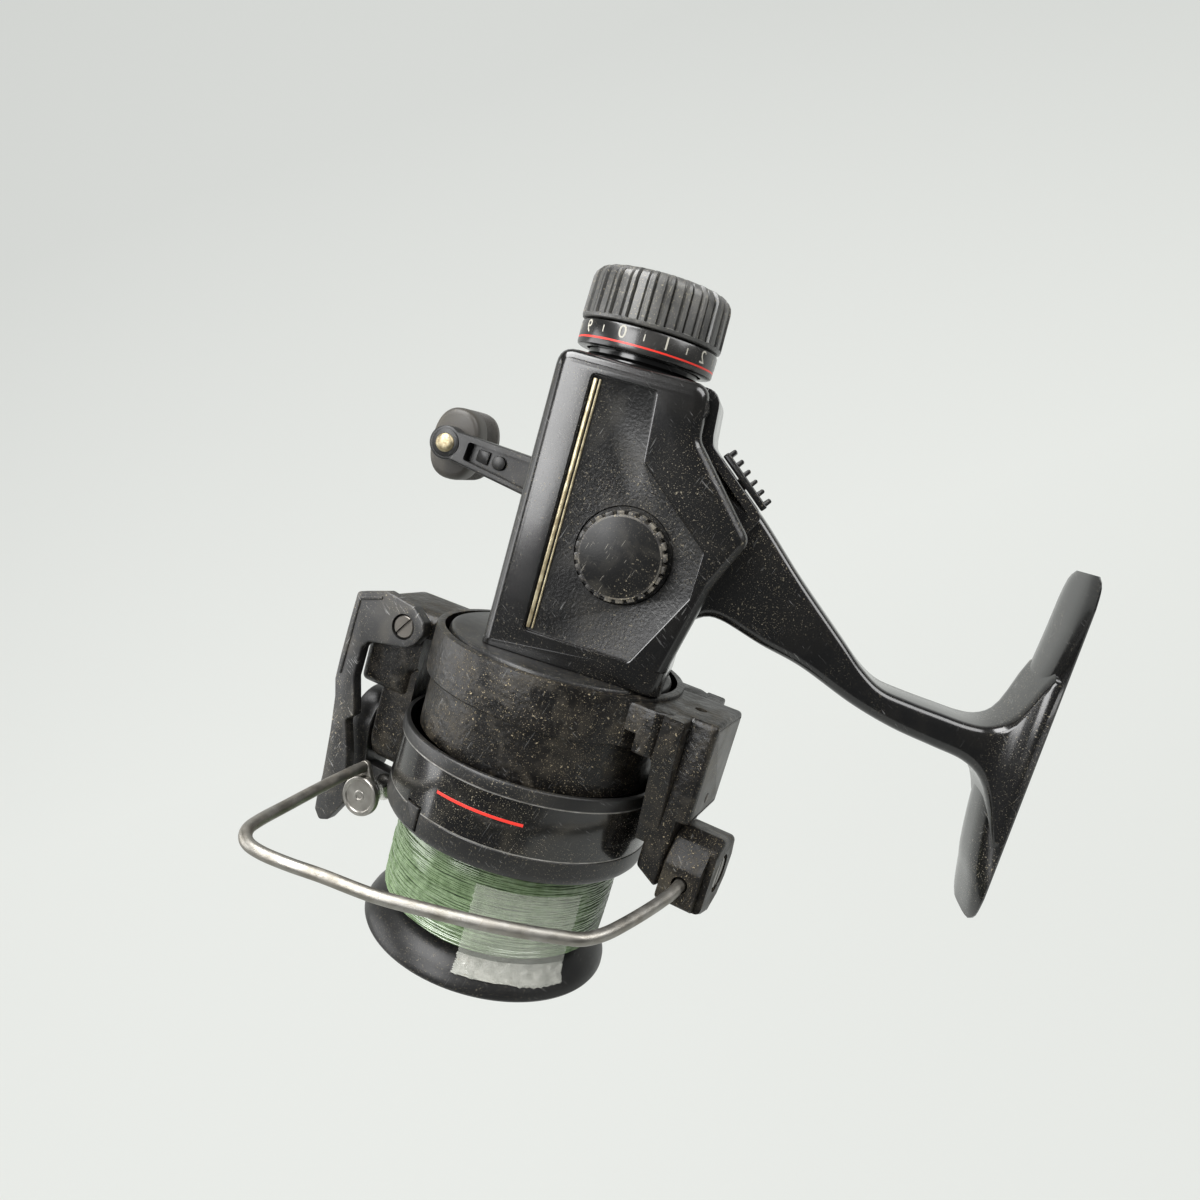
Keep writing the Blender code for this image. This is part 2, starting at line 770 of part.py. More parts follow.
def make_housing(root):
    outline = rounded(housing_outline(), body_corner)
    shell = prism(outline, -split_depth, body_half, "xz", 0.0, body_edge)
    inside = rounded(inset(housing_outline(), body_wall), body_corner - body_wall / 2)
    cavity = prism(inside, -split_depth - overrun, body_half - body_wall, "xz")
    shell = cut(shell, cavity)
    barrel = rod(-tail_reach, -barrel_front, barrel_radius, "x", 24)
    neck = rod(-tail_reach - neck_length, -tail_reach + body_wall, neck_radius, "x", 24)
    drive_boss = moved(rod(bush_inner(), body_half + hub_boss_height,
                           hub_boss_radius, "y", 20), (-drive_back, 0, drive_high))
    posts = [moved(rod(-split_depth, body_half - body_wall / 2, boss_radius, "y", 10), (x, 0, z))
             for x, z in screw_places()]
    mount_x = -barrel_front + overrun
    rail_post = block((mount_x - 2 * overrun, mount_x), (-rail_radius - overrun, rail_radius + overrun),
                      (-belly_depth + body_wall / 2, -rail_drop + rail_radius + overrun))
    shell = added(shell, barrel, neck, drive_boss, *posts, rail_post, stem_solid(), foot_solid())
    chamber = rod(-tail_reach - neck_length - overrun, -barrel_front - body_wall,
                  chamber_radius, "x", 24)
    shaft_hole = rod(-barrel_front - body_wall - overrun, -barrel_front + 2 * overrun,
                     shaft_radius + 2 * play, "x", 14)
    nose_hole = rod(nose_reach - 3 * body_wall, nose_reach + overrun,
                    plate_hub_radius + gap, "x", 24)
    inner = bush_inner()
    bush_hole = moved(rod(inner - overrun, body_half + hub_boss_height - body_wall,
                          bush_radius + gap, "y", 18), (-drive_back, 0, drive_high))
    shank_hole = moved(rod(inner, body_half + hub_boss_height + overrun,
                           shank_radius + play, "y", 16), (-drive_back, 0, drive_high))
    screw_holes = []
    for x, z in screw_places():
        screw_holes.append(moved(rod(-split_depth - overrun, body_half + overrun,
                                     screw_radius + gap, "y", 8), (x, 0, z)))
        screw_holes.append(moved(rod(body_half - screw_head_height - gap, body_half + overrun,
                                     screw_head_radius + gap, "y", 12), (x, 0, z)))
    rail_hole = moved(rod(-barrel_front - overrun, -barrel_front + 2 * overrun,
                          rail_radius + gap, "x", 10), (0, 0, -rail_drop))
    slot_half = switch_post_radius + play
    slot_low = -slot_half - switch_travel
    slot = [on_slope(slot_low, -body_wall * 2), on_slope(slot_half, -body_wall * 2),
            on_slope(slot_half, overrun), on_slope(slot_low, overrun)]
    slot_hole = prism(slot, -slot_half, slot_half, "xz")
    shell = cut(shell, chamber, shaft_hole, nose_hole, bush_hole, shank_hole, *screw_holes,
                rail_hole, slot_hole)
    return piece("main_housing", shell, root, "gloss black")


def make_cover(root):
    outline = rounded(cover_outline(), body_corner)
    shell = prism(outline, -body_half, -split_depth - gap, "xz", body_edge, 0.0)
    inside = rounded(inset(cover_outline(), body_wall), body_corner - body_wall / 2)
    cavity = prism(inside, -body_half + body_wall, -split_depth + overrun, "xz")
    shell = cut(shell, cavity)
    inner = -body_half + body_wall
    socket_end = -spur_face - gap
    socket = moved(rod(inner - body_wall / 2, socket_end, bush_radius + body_wall, "y", 18),
                   (-drive_back, 0, drive_high))
    posts = [moved(rod(inner - body_wall / 2, -split_depth - gap, boss_radius, "y", 10), (x, 0, z))
             for x, z in screw_places()]
    shell = added(shell, socket, *posts)
    panel = prism(rounded(panel_outline(), panel_corner), -body_half - overrun,
                  -body_half + panel_depth, "xz")
    shell = cut(shell, panel)
    trim = prism([(-panel_tail + trim_width, -trim_low - trim_width),
                  (panel_nose - trim_width, -trim_low - trim_width),
                  (panel_nose - trim_width, -trim_low), (-panel_tail + trim_width, -trim_low)],
                 -body_half + panel_depth - trim_height, -body_half + body_wall / 2 + panel_depth, "xz")
    shell = added(shell, trim)
    pocket = moved(rod(-body_half - overrun, -body_half + cap_pocket_depth, cap_pocket_radius,
                       "y", 24), (-drive_back, 0, drive_high))
    bush_hole = moved(rod(-body_half + cap_pocket_depth + body_wall / 2, socket_end + overrun,
                          bush_radius + gap, "y", 18), (-drive_back, 0, drive_high))
    through = moved(rod(-body_half - overrun, inner + overrun, drive_shaft_outer + play, "y", 16),
                    (-drive_back, 0, drive_high))
    screw_holes = [moved(rod(inner + gap, -split_depth + overrun, screw_radius + gap, "y", 8),
                         (x, 0, z)) for x, z in screw_places()]
    axle_x, axle_z = oscillation_place()
    axle_hole = moved(rod(inner - body_wall / 3, inner + overrun, axle_radius + gap, "y", 10),
                      (axle_x, 0, axle_z))
    barrel_notch = rod(-tail_reach - overrun, -barrel_front + overrun, barrel_radius + gap, "x", 24)
    nose_notch = rod(nose_reach - 3 * body_wall, nose_reach + overrun, plate_hub_radius + gap, "x", 24)
    shell = cut(shell, pocket, bush_hole, through, axle_hole, barrel_notch, nose_notch, *screw_holes)
    return piece("side_cover", shell, root, "gloss black")


def make_screws(root):
    screws = []
    for x, z in screw_places():
        head = body_half - gap / 2
        profile = [(-body_half + body_wall + 2 * gap, 0), (-body_half + body_wall + 2 * gap, screw_radius),
                   (head - screw_head_height, screw_radius), (head - screw_head_height, screw_head_radius),
                   (head, screw_head_radius), (head, 0)]
        screws.append(moved(turned(profile, "y", 8), (x, 0, z)))
    for name, screw in zip(("nose", "crown", "tail"), screws):
        piece("cover_screw_" + name, screw, root, "steel")


def make_bushes(root):
    near = -body_half + cap_pocket_depth + body_wall / 2 + gap
    inner = bush_inner()
    near_bush = pipe(near, -spur_face - gap, bush_radius, drive_shaft_outer + gap, "y")
    far_bush = pipe(inner, body_half + hub_boss_height - body_wall - gap,
                    bush_radius, drive_shaft_outer + gap, "y")
    for name, bush in (("drive_bush_cover", near_bush), ("drive_bush_housing", far_bush)):
        piece(name, moved(bush, (-drive_back, 0, drive_high)), root, "bronze")
    rail = moved(rod(-barrel_front - overrun + gap, -pinion_rear + 2 * overrun, rail_radius, "x", 12),
                 (0, 0, -rail_drop))
    piece("slider_rail", rail, root, "steel")


# Front plate, bearing, pinion and ratchet

def plate_rear():
    return nose_reach + gap


def bearing_rear():
    return plate_rear() + plate_thickness - body_wall / 2 - bearing_width


def ratchet_rear():
    return plate_rear() + plate_thickness + 2 * gap


def make_bearing_plate(root):
    rear = plate_rear()
    front = rear + plate_thickness
    seat = bearing_rear() - gap
    back = seat - body_wall / 2
    profile = [(back, bearing_radius - body_wall), (back, plate_hub_radius), (rear, plate_hub_radius),
               (rear, plate_radius - plate_thickness / 2), (rear + plate_thickness / 2, plate_radius),
               (front, plate_radius), (front, bearing_radius + gap),
               (seat, bearing_radius + gap), (seat, bearing_radius - body_wall)]
    plate = turned(profile, "x", 24, True)
    hole = moved(rod(front - plate_thickness, front + overrun, pawl_pin_radius + gap, "x", 8),
                 (0, 0, pawl_pin_reach))
    plate = cut(plate, hole)
    piece("bearing_plate", plate, root, "satin black")


def make_bearing(root, rotor_frame):
    low = bearing_rear()
    high = low + bearing_width
    outer = pipe(low, high, bearing_radius, bearing_radius - race_wall, "x", 20)
    piece("bearing_outer_race", outer, root, "bright steel")
    inner = pipe(low, high, bearing_bore + race_wall, bearing_bore, "x", 16)
    piece("bearing_inner_race", inner, rotor_frame, "bright steel")
    balls = []
    for index in range(ball_count):
        ball = bmesh.new()
        bmesh.ops.create_icosphere(ball, subdivisions=1, radius=ball_radius)
        angle = 2 * math.pi * index / ball_count
        balls.append(moved(ball, around("x", (low + high) / 2, ball_pitch, angle)))
    cage = pipe((low + high) / 2 - cage_half, (low + high) / 2 + cage_half,
                ball_pitch + cage_half, ball_pitch - cage_half, "x", 2 * ball_count)
    piece("bearing_balls", added(cage, *balls), root, "bright steel")


def make_pinion(rotor_frame):
    half = pinion_gear_half
    shank = turned([(-pinion_rear, shaft_radius + play), (-pinion_rear, pinion_radius),
                    (pinion_front, pinion_radius), (pinion_front, shaft_radius + play)],
                   "x", 18, True)
    rings = []
    slices = 3
    for index in range(slices + 1):
        turn = math.radians(pinion_twist * index / slices)
        shape = toothed(pinion_gear_radius, pinion_tooth, pinion_teeth, turn)
        along = -pinion_gear_back - half + 2 * half * index / slices
        rings.append([Vector((along, y, z)) for y, z in shape])
    gear = cut(loft(rings), rod(-pinion_gear_back - half - overrun, -pinion_gear_back + half + overrun,
                                (shaft_radius + play + pinion_radius) / 2, "x", 18))
    pinion = added(shank, gear)
    piece("pinion", pinion, rotor_frame, "brass")


def make_pinion_bush(root):
    low = -pinion_rear + gap
    high = -pinion_gear_back - pinion_gear_half - gap
    bush = pipe(low, high, pinion_radius + 3 * gap + body_wall / 2, pinion_radius + gap, "x")
    foot = block((low + gap, high - gap), (-rail_radius - body_wall, rail_radius + body_wall),
                 (-belly_depth + body_wall + gap, -pinion_radius - 2 * gap))
    hole = moved(rod(low - gap, high + gap, rail_radius + gap, "x", 10), (0, 0, -rail_drop))
    piece("pinion_rear_bush", cut(added(bush, foot), hole), root, "white resin")


def make_ratchet(rotor_frame):
    rear = ratchet_rear()
    outline = []
    step = 2 * math.pi / ratchet_teeth
    for tooth in range(ratchet_teeth):
        for share, level in ((0.0, ratchet_radius), (0.12, ratchet_radius - ratchet_tooth),
                             (0.55, ratchet_radius - ratchet_tooth / 2)):
            angle = step * (tooth + share)
            outline.append((level * math.cos(angle), level * math.sin(angle)))
    wheel = prism(outline, rear, rear + ratchet_thickness, "yz")
    wheel = cut(wheel, rod(rear - overrun, rear + ratchet_thickness + overrun,
                           pinion_radius + gap, "x", 16))
    piece("ratchet_wheel", wheel, rotor_frame, "steel")


def pawl_place():
    return (ratchet_rear(), 0.0, pawl_pin_reach)


def make_pawl(root, pawl_frame):
    rear, _, reach = pawl_place()
    pin = rod(rear - plate_thickness - gap, rear + ratchet_thickness + gap, pawl_pin_radius, "x", 10)
    piece("pawl_pin", moved(pin, (0, 0, reach)), root, "steel")
    tip = ratchet_radius + gap + play / 3 + pawl_nose_half
    nose = (pawl_side, math.sqrt(tip ** 2 - pawl_side ** 2) - reach)
    outline = hull(circle(pawl_half + pawl_pin_radius, 12) + circle(pawl_nose_half, 6, nose))
    pawl = prism(outline, rear, rear + ratchet_thickness, "yz")
    pawl = cut(pawl, rod(rear - overrun, rear + ratchet_thickness + overrun,
                         pawl_pin_radius + gap, "x", 12))
    pawl = moved(pawl, (0, 0, reach))
    piece("anti_reverse_pawl", pawl, pawl_frame, "steel", pawl_place())


# Drive gear, handle and oscillation

def crown_ring(inner, outer, base, top, teeth):
    """A face gear's ring: teeth stand along the drive axis, towards the pinion."""
    rings = []
    step = 2 * math.pi / teeth
    for tooth in range(teeth):
        for share, level in ((0.0, top), (0.5, (top + base) / 2)):
            angle = step * (tooth + share)
            rings.append([around("y", at, radius, angle) for at, radius in
                          ((base, inner), (base, outer), (level, outer), (level, inner))])
    return loft(rings, True)


def oscillation_place():
    """The oscillating gear's axle, from the crosshead's middle place and the gears' centres."""
    middle = -crosshead_front - crosshead_thickness / 2 - stroke / 2
    reach = oscillation_radius + small_gear_radius + gap
    ahead = -drive_back - middle
    drop = math.sqrt(max(reach ** 2 - ahead ** 2, 0.0))
    return middle, drive_high - drop


def make_drive_gear(handle_frame):
    tooth_top = pinion_gear_radius + gap
    tooth_base = tooth_top + 2 * drive_tooth
    disc_back = drive_disc_back()
    near = -body_half + cap_pocket_depth + body_wall / 2
    far = body_half + hub_boss_height - body_wall
    profile = [(near, drive_shaft_bore), (near, drive_shaft_outer), (tooth_base, drive_shaft_outer),
               (tooth_base, drive_gear_outer), (disc_back, drive_gear_outer),
               (disc_back, drive_shaft_outer), (far, drive_shaft_outer), (far, drive_shaft_bore)]
    gear = turned(profile, "y", 24, True)
    ring = crown_ring(drive_gear_inner, drive_gear_outer - gap / 3, tooth_base + drive_disc / 2,
                      tooth_top, drive_gear_teeth)
    small = prism(toothed(small_gear_radius, spur_tooth, spur_teeth), -spur_face,
                  -spur_face + spur_thickness, "xz")
    small = cut(small, rod(-spur_face - overrun, -spur_face + spur_thickness + overrun,
                           (drive_shaft_bore + drive_shaft_outer) / 2, "y", 16))
    gear = added(gear, ring, small)
    gear = moved(gear, (-drive_back, 0, drive_high))
    piece("drive_gear", gear, handle_frame, "alloy", (-drive_back, 0, drive_high))


def make_oscillating_gear(root, gear_frame):
    x, z = oscillation_place()
    outline = toothed(oscillation_radius, spur_tooth, 2 * spur_teeth, math.pi / (4 * spur_teeth))
    gear = prism(outline, -spur_face, -spur_face + spur_thickness, "xz")
    pin_end = -crosshead_half - gap - play / 2
    pin = moved(rod(-spur_face + spur_thickness / 2, pin_end, crank_pin_radius, "y", 10),
                (crank_radius, 0, 0))
    gear = added(gear, pin)
    gear = cut(gear, rod(-spur_face - overrun, -spur_face + spur_thickness + overrun,
                         axle_radius + gap, "y", 12))
    piece("oscillating_gear", moved(gear, (x, 0, z)), gear_frame, "white resin", (x, 0, z))
    axle = rod(-body_half + body_wall * 2 / 3 + gap, -spur_face + spur_thickness + gap,
               axle_radius, "y", 12)
    piece("oscillating_axle", moved(axle, (x, 0, z)), root, "steel")


def arm_face():
    """The handle arm's near face, clear of the circle that the bail's wire sweeps."""
    sweep = max(math.hypot(point.y, point.z) for point in wire_route()) + wire_radius
    return sweep + gap + rivet_head_height + handle_clearance


def arm_point(share, side):
    """A point beside the handle arm's middle line, from the hub at 0 to the rivet at 1."""
    root = Vector((-drive_back, drive_high))
    tip = Vector((-arm_tip_back, -arm_tip_drop))
    along = (tip - root).normalized()
    across = Vector((-along.y, along.x))
    point = root.lerp(tip, share) + across * side
    return point.x, point.y


def make_handle(handle_frame):
    place = (-drive_back, 0, drive_high)
    near = arm_face()
    far = near + arm_depth
    sides = [(0.0, arm_root_half), (1.0, arm_tip_half), (1.0, -arm_tip_half), (0.0, -arm_root_half)]
    beam = prism([arm_point(share, side) for share, side in sides], near, far, "xz",
                 arm_rim / 3, arm_rim / 3, 1)
    hub = prism(circle(arm_hub_radius, 20, (-drive_back, drive_high)), near - arm_rim, far, "xz",
                arm_rim / 2, arm_rim / 2, 1)
    tip = prism(circle(arm_tip_radius, 16, arm_point(1.0, 0.0)), near, far, "xz",
                arm_rim / 3, arm_rim / 3, 1)
    shank = moved(rod(body_half + hub_boss_height - body_wall + gap, near, shank_radius, "y", 16),
                  place)
    arm = added(beam, hub, tip, shank)
    root_share = 0.20
    tip_share = 0.90
    root_side = arm_root_half + (arm_tip_half - arm_root_half) * root_share - arm_rim
    tip_side = arm_tip_half - arm_rim
    recess = [arm_point(root_share, root_side), arm_point(tip_share, tip_side),
              arm_point(tip_share, -tip_side), arm_point(root_share, -root_side)]
    floor = near + arm_recess
    arm = cut(arm, prism(rounded(recess, arm_rim / 2), near - overrun, floor, "xz"))
    pad_shares = (0.86, 0.80)
    pad_half = tip_side * 0.8
    pad = [arm_point(pad_shares[0], pad_half), arm_point(pad_shares[0], -pad_half),
           arm_point(pad_shares[1], -pad_half), arm_point(pad_shares[1], pad_half)]
    button = circle(tip_side * 0.9, 12, arm_point(0.745, 0.0))
    raised = floor - arm_rim / 2
    arm = added(arm, prism(pad, raised, floor + arm_rim / 2, "xz"),
                prism(button, raised - arm_rim / 2, floor + arm_rim / 2, "xz"))
    hole = moved(rod(near - overrun, far + overrun, rivet_radius + gap, "y", 12), rivet_place())
    bore = moved(rod(body_half, near + arm_rim, handle_shaft_radius + gap, "y", 12), place)
    arm = cut(arm, hole, bore)
    piece("handle_arm", arm, handle_frame, "satin black", place)
    shaft = moved(rod(-body_half + gap, near + arm_rim - gap, handle_shaft_radius, "y", 12), place)
    piece("handle_shaft", shaft, handle_frame, "steel", place)


def make_cap(handle_frame):
    """The notched cap that draws the handle's shaft tight from the cover side."""
    face = body_half + cap_proud
    floor = body_half - cap_pocket_depth + gap
    outline = []
    step = 2 * math.pi / cap_notches
    for notch in range(cap_notches):
        for share, level in ((0.0, cap_radius), (0.60, cap_radius), (0.80, cap_radius - cap_notch_depth)):
            angle = step * (notch + share)
            outline.append((level * math.cos(angle), level * math.sin(angle)))
    cap = prism(outline, -face, -floor, "xz", cap_notch_depth, 0.0, 1)
    socket = rod(-body_half - overrun, -floor + overrun, handle_shaft_radius + gap, "y", 12)
    cap = moved(cut(cap, socket), (-drive_back, 0, drive_high))
    piece("handle_cap", cap, handle_frame, "matt grey", (-drive_back, 0, drive_high))


def rivet_place():
    x, z = arm_point(1.0, 0.0)
    return (x, 0, z)


def knob_inner():
    return arm_face() + arm_depth + gap + play


def make_handle_knob(handle_frame, knob_frame):
    near = arm_face() - gap
    back = knob_inner() + knob_length * 0.8
    rivet = turned([(near - rivet_head_height, 0), (near - rivet_head_height, rivet_head_radius * 0.8),
                    (near - rivet_head_height / 2, rivet_head_radius), (near, rivet_head_radius),
                    (near, rivet_radius), (back, rivet_radius), (back, 0)], "y", 12)
    place = rivet_place()
    piece("knob_rivet", moved(rivet, place), handle_frame, "brass", (-drive_back, 0, drive_high))
    stations = []
    for share, size in ((0.0, 0.88), (0.06, 1.0)):
        stations.append((share * knob_length, size, 0.0))
    first_groove = 0.34 * knob_length
    for groove in range(knob_grooves):
        start = first_groove + groove * knob_groove_pitch
        for offset_share, depth in ((0.0, 0.0), (0.35, 1.0), (0.70, 0.0)):
            stations.append((start + offset_share * knob_groove_pitch, 1.0, depth))
    for share, size in ((0.90, 0.98), (0.97, 0.88), (1.0, 0.68)):
        stations.append((share * knob_length, size, 0.0))
    rings = []
    sides = 14
    for along, size, depth in stations:
        ring = []
        for side in range(sides):
            angle = 2 * math.pi * side / sides
            long_half = knob_long_half * size - depth * knob_groove_depth
            thick_half = knob_thick_half * size - depth * knob_groove_depth
            ring.append(Vector((long_half * math.copysign(abs(math.cos(angle)) ** 0.8, math.cos(angle)),
                                knob_inner() + along,
                                thick_half * math.copysign(abs(math.sin(angle)) ** 0.8, math.sin(angle)))))
        rings.append(ring)
    knob = loft(rings)
    bore = rod(knob_inner() - overrun, back + gap, rivet_radius + gap, "y", 12)
    piece("handle_knob", moved(cut(knob, bore), place), knob_frame, "rubber", place)


# Crosshead, shaft and drag

def make_crosshead(slide_frame):
    front = -crosshead_front
    rear = front - crosshead_thickness
    plate = block((rear, front), (-crosshead_half, crosshead_half),
                  (-rail_drop - rail_radius - 2 * gap - body_wall / 3, crosshead_high))
    shaft_hole = rod(rear - overrun, front + overrun, shaft_radius + gap, "x", 14)
    rail_hole = moved(rod(rear - overrun, front + overrun, rail_radius + gap, "x", 12),
                      (0, 0, -rail_drop))
    piece("crosshead", cut(plate, shaft_hole, rail_hole), slide_frame, "white resin")


def spool_nose():
    return lip_front - spool_face_depth


def make_main_shaft(spool_frame):
    rear = washer_place(2 * washer_pairs) - shaft_tail
    shaft = rod(rear, spool_nose() - button_room, shaft_radius, "x", 14)
    piece("main_shaft", shaft, spool_frame, "bright steel")


def washer_place(index):
    """The front face of a washer, counted from the chamber's front wall."""
    start = -barrel_front - body_wall - gap
    return start - index * (washer_thickness + gap)


def make_drag(root, keyed_frame):
    for pair, name in zip(range(washer_pairs), ("front", "rear")):
        face = washer_place(2 * pair)
        eared = pipe(face - washer_thickness, face, eared_radius, shaft_radius + 3 * gap)
        piece("eared_washer_" + name, eared, root, "steel")
        face = washer_place(2 * pair + 1)
        keyed = pipe(face - washer_thickness, face, keyed_radius, shaft_radius + gap)
        piece("keyed_washer_" + name, keyed, keyed_frame, "fibre")
    front = washer_place(2 * washer_pairs)
    spring = coil(plunger_face() + gap, front - gap, drag_spring_radius, drag_spring_wire / 2,
                  drag_spring_turns)
    piece("drag_spring", spring, root, "steel")


def plunger_face():
    """Where the drag knob's plunger presses on the spring."""
    return washer_place(2 * washer_pairs) - drag_spring_room


def make_drag_knob(knob_frame):
    front = -scale_front
    band_rear = front - scale_length
    rear = band_rear - drag_knob_length
    bore = neck_radius + play
    scale = turned([(front, bore), (front, scale_radius - gap), (front - gap, scale_radius),
                    (band_rear + gap / 3, scale_radius), (band_rear + gap / 3, bore)], "x", 28, True)
    piece("drag_scale", scale, knob_frame, "satin black")
    samples = []
    step = 2 * math.pi / drag_ribs
    for rib in range(drag_ribs):
        for share, level in ((0.0, drag_rib_height), (0.36, drag_rib_height), (0.68, 0.0)):
            samples.append((step * (rib + share), level))
    cap_front = band_rear - gap * 2 / 3
    stations = [(cap_front, drag_knob_radius, 0.0), (cap_front - 2 * gap, drag_knob_radius, 1.0),
                (rear + drag_knob_edge, drag_knob_radius, 1.0),
                (rear + drag_knob_edge * 0.15, drag_knob_radius - drag_knob_edge * 0.6, 0.3),
                (rear, drag_knob_radius - drag_knob_edge, 0.0)]
    rings = [[around("x", along, radius - depth * (drag_rib_height - level), angle)
              for angle, level in samples] for along, radius, depth in stations]
    cap = loft(rings)
    floor = rear + drag_knob_wall
    cap = cut(cap, rod(floor, front, bore, "x", 28))
    plunger = pipe(floor - drag_knob_wall / 2, plunger_face(), plunger_radius,
                   shaft_radius + 2 * play, "x", 18)
    piece("drag_knob", added(cap, plunger), knob_frame, "matt grey")


# Rotor

def rotor_cup():
    inner = rotor_radius - rotor_wall
    neck = rotor_neck_radius - rotor_wall
    web_rear = rotor_front - rotor_web
    bore = pinion_radius + gap
    profile = [(rotor_rear, inner), (rotor_rear, rotor_radius - gap), (rotor_rear + gap, rotor_radius),
               (rotor_step, rotor_radius), (rotor_step + gap, rotor_neck_radius),
               (rotor_rim_front, rotor_neck_radius), (rotor_rim_front, neck), (rotor_front, neck),
               (rotor_front, rotor_hub_radius + rotor_web),
               (rotor_front - rotor_web / 2, rotor_hub_radius), (rotor_front - rotor_web / 2, bore),
               (rotor_hub_rear, bore), (rotor_hub_rear, rotor_hub_radius),
               (web_rear, rotor_hub_radius + rotor_web), (web_rear, neck),
               (rotor_step - rotor_wall, neck), (rotor_step - rotor_wall, inner)]
    return turned(profile, "x", 30, True)


def right_arm():
    """The arm that carries the bail block, along +Z of the rotor, as seen from its side."""
    root = rotor_neck_radius - rotor_wall / 2
    outline = [(arm_rear, root), (rotor_step, root), (rotor_step + arm_nose, arm_inner_radius - arm_nose),
               (rotor_step + 2 * arm_nose, arm_inner_radius), (arm_front - arm_nose, arm_inner_radius),
               (arm_front, arm_front_radius - arm_nose / 4), (arm_front - arm_nose / 4, arm_front_radius),
               (arm_step, arm_front_radius), (arm_step, arm_side_radius), (arm_rear, arm_side_radius)]
    return prism(outline, -arm_half, arm_half, "xz", arm_edge, arm_edge, 1)


def left_arm():
    """The arm that carries the bail arm and the trigger, along -Z of the rotor."""
    root = rotor_neck_radius - rotor_wall / 2
    rear_part = prism([(arm_rear, -root), (rotor_step + arm_nose, -root),
                       (rotor_step + 2 * arm_nose, -left_inner_radius), (left_step, -left_inner_radius),
                       (left_step, -left_side_radius), (arm_rear, -left_side_radius)],
                      -arm_half, arm_half, "xz", arm_edge, arm_edge, 1)
    front = circle(left_half, 20, (pivot_reach, 0.0))
    back = [(left_step - 2 * arm_nose, -left_half), (left_step - 2 * arm_nose, left_half)]
    front_part = prism(hull(front + back), -arm_front_radius, -left_inner_radius + arm_nose, "xy",
                       arm_edge, 0.0, 1)
    return added(rear_part, front_part)


def make_rotor(rotor_frame):
    braces = [block((arm_rear, arm_rear + brace_length),
                    (side * (arm_half - arm_edge) - (brace_half - arm_half + arm_edge) * (side < 0),
                     side * (arm_half - arm_edge) + (brace_half - arm_half + arm_edge) * (side > 0)),
                    (rotor_neck_radius * 0.8, brace_rise)) for side in (-1, 1)]
    rotor = added(rotor_cup(), right_arm(), left_arm(), *braces)
    front = arm_front + 2 * arm_nose
    skirt_back = skirt_rear - stroke - play
    sweep = pipe(skirt_back, front, skirt_radius + play, rotor_radius + gap / 3, "x", 30)
    neck_sweep = pipe(rotor_step + gap, front, skirt_radius, rotor_neck_radius, "x", 30)
    inside = rod(rotor_rear - overrun, rotor_step - rotor_wall, rotor_radius - rotor_wall, "x", 30)
    neck_inside = pipe(rotor_step - 2 * rotor_wall, rotor_front - rotor_web,
                       rotor_neck_radius - rotor_wall, rotor_hub_radius + rotor_web, "x", 30)
    cavity = block((arm_rear + arm_cavity_wall, arm_cavity_front),
                   (-arm_half + arm_cavity_wall, arm_half - arm_cavity_wall),
                   (arm_cavity_floor, arm_side_radius + overrun))
    screw_hole = moved(rod(arm_inner_radius + body_wall / 2, arm_front_radius + overrun,
                           pivot_screw_radius + gap, "z", 12), (pivot_reach, 0, 0))
    left_hole = moved(rod(-arm_front_radius - overrun, -left_inner_radius - body_wall,
                          pivot_screw_radius + gap, "z", 12), (pivot_reach, 0, 0))
    trigger_hole = moved(rod(-arm_half - overrun, -arm_half + trigger_screw_depth + gap,
                             trigger_screw_radius + gap, "y", 10),
                         (trigger_pin_ahead, 0, -trigger_pin_rise))
    rotor = cut(rotor, sweep, neck_sweep, inside, neck_inside, cavity, screw_hole, left_hole, trigger_hole)
    piece("rotor", rotor, rotor_frame, "satin black")


